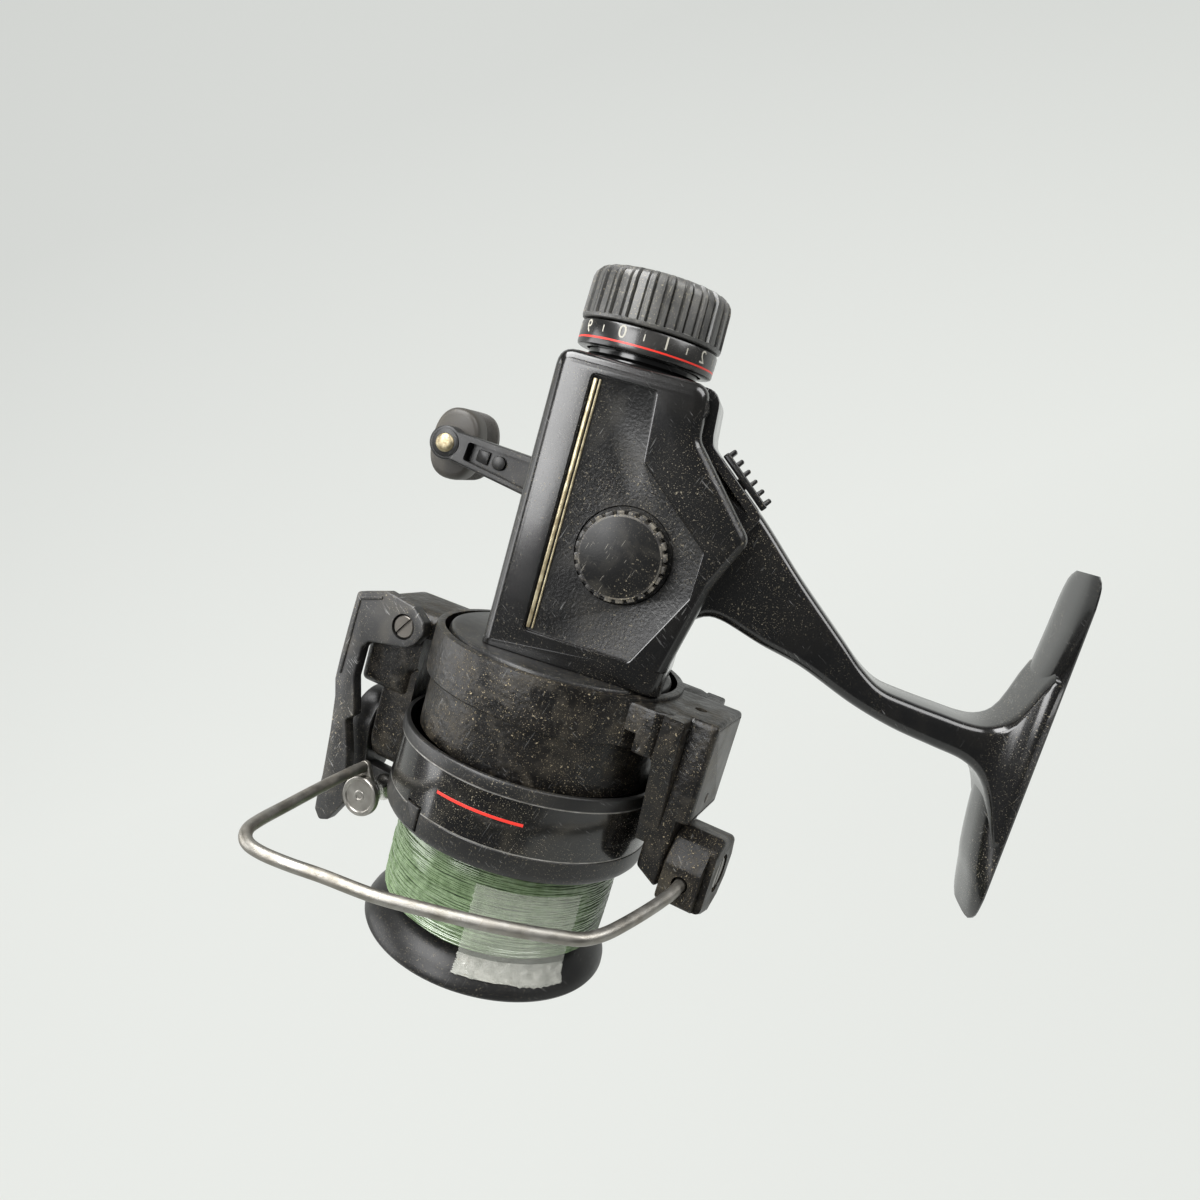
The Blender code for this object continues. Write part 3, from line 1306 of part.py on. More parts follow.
def make_rotor_fittings(rotor_frame):
    nut = prism(circle(nut_radius, 6), rotor_front - rotor_web / 2 + gap,
                rotor_front - rotor_web / 2 + gap + nut_thickness, "yz")
    nut = cut(nut, rod(rotor_front - rotor_web, pinion_front + overrun, pinion_radius + gap, "x", 16))
    piece("rotor_nut", nut, rotor_frame, "steel")
    wall = arm_cavity_wall + gap
    cover = block((arm_rear + wall, arm_cavity_front - gap), (-arm_half + wall, arm_half - wall),
                  (arm_side_radius - arm_cover_thickness, arm_side_radius))
    piece("arm_cover", cover, rotor_frame, "matt grey")
    rise = arm_cavity_floor + bail_spring_radius + bail_spring_wire / 2 + gap
    spring = coil(arm_rear + arm_cavity_wall + 3 * gap, arm_cavity_front - 3 * gap,
                  bail_spring_radius, bail_spring_wire / 2, bail_spring_turns)
    piece("bail_spring", moved(spring, (0, arm_half / 4, rise)), rotor_frame, "steel")
    head_out = arm_front_radius + 2 * gap + block_height - pivot_recess_depth + pivot_head_height
    right = turned([(arm_inner_radius + body_wall, 0), (arm_inner_radius + body_wall, pivot_screw_radius),
                    (head_out - pivot_head_height, pivot_screw_radius),
                    (head_out - pivot_head_height, pivot_head_radius), (head_out, pivot_head_radius),
                    (head_out, 0)], "z", 14)
    piece("pivot_screw_block", moved(right, (pivot_reach, 0, 0)), rotor_frame, "steel")
    low = arm_front_radius + gap + bail_arm_thickness + gap
    left = turned([(-left_inner_radius - body_wall - gap, 0),
                   (-left_inner_radius - body_wall - gap, pivot_screw_radius), (-low, pivot_screw_radius),
                   (-low, pivot_head_radius), (-low - pivot_head_height, pivot_head_radius * 0.9),
                   (-low - pivot_head_height, 0)], "z", 14)
    piece("pivot_screw_arm", moved(left, (pivot_reach, 0, 0)), rotor_frame, "steel")
    side = -trigger_side + trigger_thickness * 0.35
    screw = turned([(side - trigger_thickness * 0.25, 0), (side - trigger_thickness * 0.25, trigger_head_radius),
                    (side + trigger_thickness * 0.25, trigger_head_radius),
                    (side + trigger_thickness * 0.25, trigger_screw_radius),
                    (-arm_half + trigger_screw_depth, trigger_screw_radius),
                    (-arm_half + trigger_screw_depth, 0)], "y", 12)
    slot = block((-trigger_head_radius, trigger_head_radius), (side - trigger_thickness, side),
                 (-trigger_screw_radius / 4, trigger_screw_radius / 4))
    screw = cut(screw, turned_by(slot, 35, "Y"))
    piece("trigger_screw", moved(screw, (trigger_pin_ahead, 0, -trigger_pin_rise)), rotor_frame, "steel")


# Bail, roller and trigger

def wire_route():
    """The wire from the eye by the roller, round its bend and across to the block's socket.

    Places are ahead of the pivot, to the side that leads the bail, and towards the block.
    """
    eye_side = roller_head_side - roller_head_height - eye_thickness / 2
    route_shares = ((0.72, -0.62, 0.145), (0.97, -0.545, 0.155), (1.0, -0.46, 0.157),
                    (0.98, -0.28, 0.157), (0.94, 0.0, 0.148), (0.885, 0.16, 0.138),
                    (0.825, 0.31, 0.127), (0.76, 0.46, 0.116), (0.675, 0.60, 0.100),
                    (0.60, 0.665, 0.088), (0.50, 0.70, 0.068), (0.37, 0.735, 0.045))
    points = [Vector((wire_end_ahead, -eye_side, -wire_end_rise)),
              Vector((wire_end_ahead, -eye_side - 3 * wire_radius, -wire_end_rise))]
    for side, rise, ahead in route_shares:
        points.append(Vector((wire_reach * ahead, -wire_reach * side, wire_reach * rise)))
    points.append(Vector((wire_hole_ahead, -block_lug_side - 3 * wire_radius, wire_hole_rise)))
    points.append(Vector((wire_hole_ahead, -block_lug_side + wire_socket_depth / 2, wire_hole_rise)))
    return points


def smooth_path(points, steps=2):
    """Points along a smooth curve through the given ones."""
    path = []
    for index in range(len(points) - 1):
        before = points[max(index - 1, 0)]
        start = points[index]
        end = points[index + 1]
        after = points[min(index + 2, len(points) - 1)]
        for step in range(steps):
            t = step / steps
            path.append(0.5 * ((2 * start) + (end - before) * t
                               + (2 * before - 5 * start + 4 * end - after) * t ** 2
                               + (3 * start - before - 3 * end + after) * t ** 3))
    path.append(points[-1])
    return path


def make_bail(bail_frame, roller_frame):
    inner = arm_front_radius + gap
    outline = hull(circle(block_radius, 22)
                   + [(-block_lug_rear, -block_lug_side), (block_lug_front, -block_lug_side)])
    body = prism(outline, inner, inner + block_height, "xy", block_edge / 2, block_edge, 1)
    bore = rod(inner - overrun, inner + block_height + overrun, pivot_screw_radius + gap, "z", 12)
    recess = rod(inner + block_height - pivot_recess_depth, inner + block_height + overrun,
                 pivot_recess_radius, "z", 18)
    socket = moved(rod(-block_lug_side - overrun, -block_lug_side + wire_socket_depth,
                       wire_socket_radius, "y", 12), (wire_hole_ahead, 0, wire_hole_rise))
    piece("bail_block", cut(body, bore, recess, socket), bail_frame, "satin black")

    low = -inner - bail_arm_thickness
    plate = hull(circle(bail_arm_radius, 20) + [(lug_front, -lug_side), (lug_front, -lug_side + lug_thickness),
                                                (bail_arm_radius, bail_arm_radius * 0.6)])
    plate_solid = prism(plate, low, -inner, "xy", block_edge, block_edge / 2, 1)
    lug = hull(circle(roller_radius + gap / 2, 12, (roller_ahead, -roller_rise))
               + [(lug_rear, low + block_edge), (lug_front, low + block_edge),
                  (lug_rear, -roller_rise), (lug_front - gap, -roller_rise - roller_radius)])
    lug_solid = prism(lug, -lug_side, -lug_side + lug_thickness, "xz", block_edge / 3, block_edge / 3, 1)
    arm = added(plate_solid, lug_solid)
    arm_bore = rod(low - overrun, -inner + overrun, pivot_screw_radius + gap, "z", 12)
    lug_bore = moved(rod(-lug_side - overrun, -lug_side + lug_thickness + overrun,
                         roller_screw_radius + gap, "y", 12), (roller_ahead, 0, -roller_rise))
    arm = cut(arm, arm_bore, lug_bore)
    piece("bail_arm", arm, bail_frame, "satin black")

    eye_low = -roller_head_side + roller_head_height + gap
    eye_shape = hull(circle(roller_radius, 14, (roller_ahead, -roller_rise))
                     + circle(wire_radius * 1.1, 10, (wire_end_ahead, -wire_end_rise)))
    eye = prism(eye_shape, eye_low, eye_low + eye_thickness, "xz", gap / 2, gap / 2, 1)
    wire = tube(smooth_path(wire_route()), wire_radius, 8)
    eye_bore = moved(rod(eye_low - overrun, eye_low + eye_thickness + overrun,
                         roller_screw_radius + gap, "y", 12), (roller_ahead, 0, -roller_rise))
    piece("bail_wire", cut(added(eye, wire), eye_bore), bail_frame, "steel")

    head = -roller_head_side
    screw = turned([(head, 0), (head, roller_head_radius - gap), (head + gap, roller_head_radius),
                    (head + roller_head_height, roller_head_radius),
                    (head + roller_head_height, roller_screw_radius),
                    (-lug_side + lug_thickness, roller_screw_radius), (-lug_side + lug_thickness, 0)],
                   "y", 14)
    piece("roller_screw", moved(screw, (roller_ahead, 0, -roller_rise)), bail_frame, "bright steel")

    start = eye_low + eye_thickness + gap
    end = -lug_side - gap
    width = end - start
    rim = width * 0.14
    roller = turned([(start, roller_bore), (start, roller_radius), (start + rim, roller_radius),
                     (start + 2.4 * rim, roller_waist), (end - 2.4 * rim, roller_waist),
                     (end - rim, roller_radius), (end, roller_radius), (end, roller_bore)],
                    "y", 14, True)
    place = (roller_ahead, 0, -roller_rise)
    piece("line_roller", moved(roller, place), roller_frame, "bright steel", place)


def make_trigger(trigger_frame):
    shares = ((0.15, 0.825), (0.187, 0.987), (0.30, 0.995), (0.42, 1.0), (0.50, 1.0), (0.56, 0.975),
              (0.68, 0.955), (0.84, 0.94), (0.92, 0.945), (0.97, 0.94), (1.0, 0.90), (0.985, 0.85),
              (0.90, 0.78), (0.73, 0.83), (0.62, 0.885), (0.595, 0.84), (0.53, 0.87),
              (0.47, 0.895), (0.36, 0.89), (0.335, 0.86), (0.305, 0.65), (0.285, 0.61),
              (0.245, 0.575), (0.205, 0.585), (0.165, 0.66))
    outline = [(trigger_length * ahead, -trigger_rise * rise) for ahead, rise in shares]
    low = -trigger_side
    plate = prism(outline, low, low + trigger_thickness, "xz", gap, gap, 1)
    place = (trigger_pin_ahead, 0, -trigger_pin_rise)
    recess = moved(rod(low - overrun, low + trigger_thickness * 0.6 + gap, trigger_hole_radius, "y", 16),
                   place)
    hole = moved(rod(low, low + trigger_thickness + overrun, trigger_screw_radius + gap, "y", 12), place)
    piece("bail_trigger", cut(plate, recess, hole), trigger_frame, "matt grey", place)


# Spool, line, tape, clip and button

def lip_profile():
    """The front lip's rear face, from the drum out to its rim."""
    rise = lip_radius - drum_radius
    depth = lip_front - lip_rear
    shares = ((0.0, 0.0), (0.22, 0.46), (0.50, 0.80), (0.72, 0.96), (0.86, 1.0))
    return [(lip_rear + depth * along, drum_radius + rise * out) for along, out in shares]


def make_spool(spool_frame):
    inner_skirt = skirt_radius - skirt_wall
    inner_drum = drum_radius - drum_wall
    face = spool_nose()
    depth = lip_front - lip_rear
    hub_bore = shaft_radius + gap
    profile = [(skirt_rear, inner_skirt), (skirt_rear, skirt_radius - skirt_wall / 3),
               (skirt_rear + skirt_wall / 3, skirt_radius), (skirt_front - skirt_edge, skirt_radius),
               (skirt_front - skirt_edge * 0.3, skirt_radius - skirt_edge * 0.3),
               (skirt_front, skirt_radius - skirt_edge), (skirt_front, drum_radius)]
    profile += lip_profile()
    profile += [(lip_front - depth * 0.04, lip_radius * 0.985), (lip_front, lip_radius * 0.95),
                (lip_front - depth * 0.08, lip_radius * 0.88), (face, lip_radius * 0.80),
                (face, button_radius + play), (face - button_room, button_radius + play),
                (face - button_room, hub_bore), (spool_hub_rear, hub_bore),
                (spool_hub_rear, spool_hub_radius), (face - 2 * drum_wall, spool_hub_radius),
                (face - 2 * drum_wall, inner_drum), (skirt_front - spool_web, inner_drum),
                (skirt_front - spool_web, inner_skirt)]
    spool = turned(profile, "x", 30, True)
    pocket = clip_solid(gap, overrun)
    spool = cut(spool, pocket)
    piece("spool", spool, spool_frame, "satin black")


def clip_solid(margin, rise):
    """The line clip's block in the skirt, or its pocket when the margin is a clearance."""
    rear = skirt_front - skirt_edge - clip_length
    solid = block((rear - margin, skirt_front - skirt_edge + margin),
                  (-clip_half_width - margin, clip_half_width + margin),
                  (skirt_radius - skirt_wall * 0.55 - margin, skirt_radius + rise))
    return turned_by(solid, clip_azimuth, "X")


def make_clip(spool_frame):
    piece("line_clip", clip_solid(0.0, clip_proud), spool_frame, "matt grey")


def winding_ends():
    return skirt_front + 2 * gap, lip_rear - gap


def make_line(spool_frame):
    low, high = winding_ends()
    core = turned([(low, drum_radius + gap), (low, core_radius), (high, core_radius),
                   (high, drum_radius + gap)], "x", core_steps, True)
    piece("line_core", core, spool_frame, "line green")
    radius = core_radius / math.cos(math.pi / line_points_per_turn) + gap + line_radius
    start = low + 2 * line_radius
    end = high - 2 * line_radius
    count = line_turns * line_points_per_turn
    path = [around("x", start + (end - start) * step / count, radius,
                   2 * math.pi * step / line_points_per_turn) for step in range(count + 1)]
    first = path[0] + (path[0] - path[1]).normalized() * 2 * line_radius
    last = path[-1] + (path[-1] - path[-2]).normalized() * 2 * line_radius
    path = [first] + path + [last]
    print("least gap of the line to itself, in mm: %.2f" % (least_gap(path) / mm))
    curve = bpy.data.curves.new("line_winding", "CURVE")
    curve.dimensions = "3D"
    curve.bevel_depth = line_radius
    curve.bevel_resolution = 1
    curve.use_fill_caps = True
    spline = curve.splines.new("POLY")
    spline.points.add(len(path) - 1)
    for point, place in zip(spline.points, path):
        point.co = (*place, 1.0)
    item = bpy.data.objects.new("line_winding", curve)
    bpy.context.scene.collection.objects.link(item)
    item.parent = spool_frame
    curve.materials.append(finish("line_winding", "line green"))


def least_gap(path):
    """The least distance between turns of the line that aren't neighbours on it."""
    near = line_points_per_turn // 2
    least = 1.0
    for index in range(0, len(path)):
        for other in range(index + near, min(index + 2 * line_points_per_turn, len(path))):
            least = min(least, (path[index] - path[other]).length)
    return least - 2 * line_radius


def make_tape(spool_frame):
    """A short strip that holds the line's end, from the winding out over the lip."""
    outer = core_radius / math.cos(math.pi / line_points_per_turn) + gap + 2 * line_radius + gap
    depth = lip_front - lip_rear
    profile = [(tape_rear, outer), (lip_rear, outer), (lip_rear + depth * 0.25, outer + gap),
               (lip_rear + depth * 0.55, lip_radius - gap), (lip_rear + depth * 0.80, lip_radius + gap)]
    rings = []
    for step in range(tape_steps + 1):
        turn = tape_start_degrees + (tape_end_degrees - tape_start_degrees) * step / tape_steps
        angle = math.radians(90 + turn)
        low = [around("x", along, radius, angle) for along, radius in profile]
        high = [around("x", along, radius + tape_thickness, angle) for along, radius in profile[::-1]]
        rings.append(low + high)
    piece("line_tape", loft(rings), spool_frame, "clear tape")


def make_button(button_frame):
    face = spool_nose()
    rear = face - button_room + gap + button_travel
    button = turned([(rear, 0), (rear, button_radius), (face + button_proud * 0.6, button_radius),
                     (face + button_proud, button_radius * 0.8), (face + button_proud, 0)], "x", 16)
    piece("spool_button", button, button_frame, "matt grey")


# Anti-reverse switch

def make_switch(switch_frame):
    along, outward, middle = slope_frame()
    half = switch_length / 2
    base = [on_slope(-half, gap), on_slope(half, gap), on_slope(half, gap + switch_base),
            on_slope(-half, gap + switch_base)]
    switch = prism(base, -switch_half, switch_half, "xz", gap, gap, 1)
    pitch = (switch_length - switch_rib_width - gap) / (switch_ribs - 1)
    parts = []
    for rib in range(switch_ribs):
        start = -half + gap / 2 + rib * pitch
        low = gap + switch_base / 2
        high = gap + switch_base + switch_rib_height
        parts.append(prism([on_slope(start, low), on_slope(start + switch_rib_width, low),
                            on_slope(start + switch_rib_width, high), on_slope(start, high)],
                           -switch_half * 0.92, switch_half * 0.92, "xz"))
    post_length = body_wall + 1.4 * switch_base
    post = rod(0, post_length, switch_post_radius, "z", 12)
    lean = math.degrees(math.atan2(-outward.x, outward.y))
    turned_by(post, -lean, "Y")
    foot = on_slope(0.0, gap + switch_base * 0.7)
    shift = Vector((foot[0] - outward.x * post_length, 0, foot[1] - outward.y * post_length))
    parts.append(moved(post, shift))
    switch = added(switch, *parts)
    piece("anti_reverse_switch", switch, switch_frame, "satin black", (middle.x, 0, middle.y))


def build():
    for item in list(bpy.data.objects):
        bpy.data.objects.remove(item)
    root = frame_empty("reel_axis", (0, 0, -axis_drop))
    drive = (-drive_back, 0, drive_high)
    handle_frame = frame_empty("handle_axis", drive, root)
    grip = rivet_place()
    knob_frame = frame_empty("handle_knob_axis", grip, root)
    gear_x, gear_z = oscillation_place()
    gear_frame = frame_empty("oscillating_axis", (gear_x, 0, gear_z), root)
    pawl_frame = frame_empty("pawl_axis", pawl_place(), root)
    rotor_frame = frame_empty("rotor_axis", (0, 0, 0), root, (rotor_azimuth, 0, 0))
    bail_frame = frame_empty("bail_axis", (pivot_reach, 0, 0), rotor_frame)
    roller_frame = frame_empty("roller_axis", (roller_ahead, 0, -roller_rise), bail_frame)
    trigger_frame = frame_empty("trigger_axis", (trigger_pin_ahead, 0, -trigger_pin_rise), rotor_frame)
    slide_frame = frame_empty("stroke_axis", (0, 0, 0), root)
    spool_frame = frame_empty("spool_axis", (0, 0, 0), slide_frame)
    button_frame = frame_empty("button_axis", (0, 0, 0), spool_frame)
    keyed_frame = frame_empty("keyed_axis", (0, 0, 0), root)
    drag_frame = frame_empty("drag_axis", (0, 0, 0), root)
    _, _, middle = slope_frame()
    switch_frame = frame_empty("switch_axis", (middle.x, 0, middle.y), root)

    make_housing(root)
    make_cover(root)
    make_screws(root)
    make_bushes(root)
    make_bearing_plate(root)
    make_bearing(root, rotor_frame)
    make_pinion(rotor_frame)
    make_pinion_bush(root)
    make_ratchet(rotor_frame)
    make_pawl(root, pawl_frame)
    make_drive_gear(handle_frame)
    make_oscillating_gear(root, gear_frame)
    make_handle(handle_frame)
    make_cap(handle_frame)
    make_handle_knob(handle_frame, knob_frame)
    make_crosshead(slide_frame)
    make_main_shaft(spool_frame)
    make_drag(root, keyed_frame)
    make_drag_knob(drag_frame)
    make_rotor(rotor_frame)
    make_rotor_fittings(rotor_frame)
    make_bail(bail_frame, roller_frame)
    make_trigger(trigger_frame)
    make_spool(spool_frame)
    make_clip(spool_frame)
    make_line(spool_frame)
    make_tape(spool_frame)
    make_button(button_frame)
    make_switch(switch_frame)
    bpy.context.view_layer.update()


build()
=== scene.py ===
import math
import random

import bmesh
import bpy
from mathutils import Matrix, Vector


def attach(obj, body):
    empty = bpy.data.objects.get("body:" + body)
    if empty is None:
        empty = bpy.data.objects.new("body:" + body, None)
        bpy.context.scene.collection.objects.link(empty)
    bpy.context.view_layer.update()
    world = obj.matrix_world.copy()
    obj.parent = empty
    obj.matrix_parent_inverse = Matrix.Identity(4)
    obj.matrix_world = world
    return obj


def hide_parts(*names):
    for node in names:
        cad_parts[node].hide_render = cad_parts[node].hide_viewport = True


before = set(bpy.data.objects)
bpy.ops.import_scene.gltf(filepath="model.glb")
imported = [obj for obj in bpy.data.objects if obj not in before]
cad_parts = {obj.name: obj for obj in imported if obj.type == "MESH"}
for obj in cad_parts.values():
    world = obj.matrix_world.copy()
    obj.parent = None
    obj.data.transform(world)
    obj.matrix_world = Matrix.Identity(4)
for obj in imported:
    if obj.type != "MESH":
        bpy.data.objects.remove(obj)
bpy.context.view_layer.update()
print("frame loaded")

# Shapes are drawn in millimetres round the main axis: x forward, y to the handle, z to the rod
places = dict(footTop=82.0, rotorTurn=14,       # height of the foot's flat, and the rotor's angle at rest
              drive=(-11.9, 0, 7.5),            # axis of the handle
              rail=(0, 0, -7.6),                # rail of the crosshead
              oscillator=(-18.4, 0, -2.1),      # axis of the oscillating gear
              pivot=(37, 0, 0),                 # axis of the bail, seen from the rotor
              trigger=(13.75, 0, -27.3),        # axis of the bail trigger
              roller=(10.6, 0, -26.8))          # axis of the line roller, seen from the bail
axisFrame = Matrix.Translation((0, 0, -places["footTop"] / 1000)) @ Matrix.Scale(0.001, 4)
rotorFrame = axisFrame @ Matrix.Rotation(math.radians(places["rotorTurn"]), 4, "X")
driveFrame = axisFrame @ Matrix.Translation(places["drive"])
bailFrame = rotorFrame @ Matrix.Translation(places["pivot"])
welded = 0.002                                  # points nearer than this are merged after a boolean

scene = bpy.context.scene
scene.view_settings.view_transform = "Standard"


# Outlines

def smoothCorners(points, radius, steps=6):
    outline = []
    for index, point in enumerate(points):
        here = Vector(point)
        before = Vector(points[index - 1]) - here
        after = Vector(points[(index + 1) % len(points)]) - here
        angle = before.angle(after)
        reach = min(radius / math.tan(angle / 2), 0.45 * before.length, 0.45 * after.length)
        if reach < 0.01 or math.pi - angle < 0.03:
            outline.append(tuple(here))
            continue
        start = here + before.normalized() * reach
        end = here + after.normalized() * reach
        for step in range(steps + 1):
            t = step / steps
            outline.append(tuple(start * (1 - t) ** 2 + here * 2 * t * (1 - t) + end * t ** 2))
    return outline


def outlineArea(points):
    return sum(a[0] * b[1] - b[0] * a[1] for a, b in zip(points, points[1:] + points[:1])) / 2


def inset(points, distance):
    sign = 1 if outlineArea(points) > 0 else -1
    moved = []
    for index, point in enumerate(points):
        here = Vector(point)
        before = (here - Vector(points[index - 1])).normalized()
        after = (Vector(points[(index + 1) % len(points)]) - here).normalized()
        first = Vector((-before.y, before.x)) * sign
        second = Vector((-after.y, after.x)) * sign
        moved.append(tuple(here + (first + second) * distance / max(1 + first.dot(second), 0.4)))
    return moved


def circle(radius, steps=48, centre=(0, 0)):
    return [(centre[0] + radius * math.cos(2 * math.pi * i / steps),
             centre[1] + radius * math.sin(2 * math.pi * i / steps)) for i in range(steps)]


def hull(points):
    ordered = sorted(set((round(x, 5), round(y, 5)) for x, y in points))

    def chain(sequence):
        side = []
        for p in sequence:
            while len(side) > 1:
                a, b = side[-2], side[-1]
                if (b[0] - a[0]) * (p[1] - a[1]) - (b[1] - a[1]) * (p[0] - a[0]) > 1e-9:
                    break
                side.pop()
            side.append(p)
        return side[:-1]

    return chain(ordered) + chain(ordered[::-1])


def splineThrough(points, steps=8):
    path = []
    for i in range(len(points) - 1):
        a, b = Vector(points[max(i - 1, 0)]), Vector(points[i])
        c, d = Vector(points[i + 1]), Vector(points[min(i + 2, len(points) - 1)])
        for step in range(steps):
            t = step / steps
            path.append(0.5 * (2 * b + (c - a) * t + (2 * a - 5 * b + 4 * c - d) * t ** 2
                               + (3 * b - a - 3 * c + d) * t ** 3))
    path.append(Vector(points[-1]))
    return path


def cornerRing(points, radius, inward, steps=6):
    sign = 1 if outlineArea(points) > 0 else -1
    moved = [Vector(p) for p in (inset(points, inward) if inward > 1e-6 else points)]
    outline = []
    for index, here in enumerate(moved):
        before = moved[index - 1] - here
        after = moved[(index + 1) % len(moved)] - here
        turn = (-before.x * after.y + before.y * after.x) * sign
        size = max(radius - inward, 0.3) if turn > 0 else radius + inward
        half = max(before.angle(after) / 2, 0.05)
        reach = min(size / math.tan(half), 0.42 * before.length, 0.42 * after.length)
        start = here + before.normalized() * max(reach, 0.02)
        end = here + after.normalized() * max(reach, 0.02)
        for step in range(steps + 1):
            t = step / steps
            outline.append(tuple(start * (1 - t) ** 2 + here * 2 * t * (1 - t) + end * t ** 2))
    return outline


# Solids

def inPlane(plane, first, second, level):
    if plane == "xz":
        return Vector((first, level, second))
    if plane == "xy":
        return Vector((first, second, level))
    return Vector((level, first, second))


def loft(rings, closed=False):
    bm = bmesh.new()
    loops = [[bm.verts.new(p) for p in ring] for ring in rings]
    pairs = list(zip(loops, loops[1:]))
    if closed:
        pairs.append((loops[-1], loops[0]))
    for low, high in pairs:
        count = max(len(low), len(high))
        for i in range(count):
            j = (i + 1) % count
            if len(low) == 1:
                bm.faces.new((low[0], high[j], high[i]))
            elif len(high) == 1:
                bm.faces.new((low[i], low[j], high[0]))
            else:
                bm.faces.new((low[i], low[j], high[j], high[i]))
    if not closed:
        for ring in (loops[0], loops[-1]):
            if len(ring) > 1:
                bm.faces.new(ring)
    bmesh.ops.recalc_face_normals(bm, faces=bm.faces[:])
    return bm


def prism(outline, low, high, plane="xz", lowEdge=0.0, highEdge=0.0, steps=4, corner=0.0):
    turns = [math.pi / 2 * step / steps for step in range(steps + 1)]
    bottom, top = [(low, 0.0)], [(high, 0.0)]
    if lowEdge:
        bottom = [(low + lowEdge * (1 - math.cos(a)), lowEdge * (1 - math.sin(a))) for a in turns]
    if highEdge:
        top = [(high - highEdge * (1 - math.sin(a)), highEdge * (1 - math.cos(a))) for a in turns]
    rings = []
    for level, inward in bottom + top:
        if corner:
            shape = cornerRing(outline, corner, inward)
        else:
            shape = inset(outline, inward) if inward > 1e-6 else outline
        rings.append([inPlane(plane, first, second, level) for first, second in shape])
    return loft(rings)


def around(axis, along, radius, angle):
    a, b = radius * math.cos(angle), radius * math.sin(angle)
    return Vector({"x": (along, a, b), "y": (a, along, b), "z": (a, b, along)}[axis])


def turned(profile, axis="x", steps=96, closed=False):
    rings = []
    for along, radius in profile:
        count = 1 if radius == 0 else steps
        rings.append([around(axis, along, radius, 2 * math.pi * i / steps) for i in range(count)])
    return loft(rings, closed)


def rod(low, high, radius, axis="x", steps=40):
    return turned([(low, 0), (low, radius), (high, radius), (high, 0)], axis, steps)


def pipe(low, high, outer, inner, axis="x", steps=64):
    return turned([(low, inner), (low, outer), (high, outer), (high, inner)], axis, steps, True)


def block(x, y, z, edge=0.0):
    outline = [(x[0], y[0]), (x[1], y[0]), (x[1], y[1]), (x[0], y[1])]
    if edge:
        outline = smoothCorners(outline, edge, 3)
    return prism(outline, z[0], z[1], "xy", edge, edge, 3)


def tube(points, radius, sides=20):
    rings, across = [], None
    for i, point in enumerate(points):
        along = (points[min(i + 1, len(points) - 1)] - points[max(i - 1, 0)]).normalized()
        across = along.orthogonal() if across is None else across
        across = (across - along * across.dot(along)).normalized()
        up = along.cross(across)
        rings.append([point + (across * math.cos(a) + up * math.sin(a)) * radius
                      for a in (2 * math.pi * s / sides for s in range(sides))])
    return loft(rings)


def shifted(bm, offset):
    bmesh.ops.translate(bm, verts=bm.verts[:], vec=offset)
    return bm


def spun(bm, degrees, axis, centre=(0, 0, 0)):
    bmesh.ops.rotate(bm, verts=bm.verts[:], cent=centre,
                     matrix=Matrix.Rotation(math.radians(degrees), 3, axis))
    return bm


def joined(*parts):
    bm = bmesh.new()
    for part in parts:
        mesh = bpy.data.meshes.new("scratch")
        part.to_mesh(mesh)
        bm.from_mesh(mesh)
        bpy.data.meshes.remove(mesh)
    return bm


def helperObject(name, bm):
    mesh = bpy.data.meshes.new(name)
    bm.to_mesh(mesh)
    item = bpy.data.objects.new(name, mesh)
    scene.collection.objects.link(item)
    return item


def evaluatedMesh(item):
    return bpy.data.meshes.new_from_object(item.evaluated_get(bpy.context.evaluated_depsgraph_get()))


def dropObject(item):
    data = item.data
    bpy.data.objects.remove(item)
    (bpy.data.meshes if isinstance(data, bpy.types.Mesh) else bpy.data.curves).remove(data)


def boolean(base, tools, operation):
    target = helperObject("base", base)
    helpers = []
    for tool in tools:
        helper = helperObject("tool", tool)
        modifier = target.modifiers.new("step", "BOOLEAN")
        modifier.operation, modifier.object, modifier.solver = operation, helper, "EXACT"
        helpers.append(helper)
    mesh = evaluatedMesh(target)
    result = bmesh.new()
    result.from_mesh(mesh)
    bmesh.ops.remove_doubles(result, verts=result.verts[:], dist=welded)
    borders = [edge for edge in result.edges if edge.is_boundary]
    if borders:
        bmesh.ops.holes_fill(result, edges=borders, sides=0)
    bpy.data.meshes.remove(mesh)
    for item in helpers + [target]:
        dropObject(item)
    return result


def added(base, *tools):
    return boolean(base, tools, "UNION")


def cut(base, *tools):
    return boolean(base, tools, "DIFFERENCE")


# Node trees that repeat a shape

def groupTree(name, inputs):
    tree = bpy.data.node_groups.new(name, "GeometryNodeTree")
    tree.interface.new_socket("Geometry", in_out="INPUT", socket_type="NodeSocketGeometry")
    for label, kind, value in inputs:
        socket = tree.interface.new_socket(label, in_out="INPUT", socket_type=kind)
        if value is not None:
            socket.default_value = value
    tree.interface.new_socket("Geometry", in_out="OUTPUT", socket_type="NodeSocketGeometry")
    return tree, tree.nodes.new("NodeGroupInput"), tree.nodes.new("NodeGroupOutput")


def closeTree(tree, start, end, geometry):
    realize = tree.nodes.new("GeometryNodeRealizeInstances")
    finish = tree.nodes.new("GeometryNodeSetMaterial")
    tree.links.new(geometry, realize.inputs[0])
    tree.links.new(realize.outputs[0], finish.inputs[0])
    tree.links.new(start.outputs["Finish"], finish.inputs["Material"])
    tree.links.new(finish.outputs[0], end.inputs[0])


def treeMath(tree, operation, first, second):
    node = tree.nodes.new("ShaderNodeMath")
    node.operation = operation
    for socket, value in zip(node.inputs, (first, second)):
        if isinstance(value, (int, float)):
            socket.default_value = value
        else:
            tree.links.new(value, socket)
    return node.outputs[0]


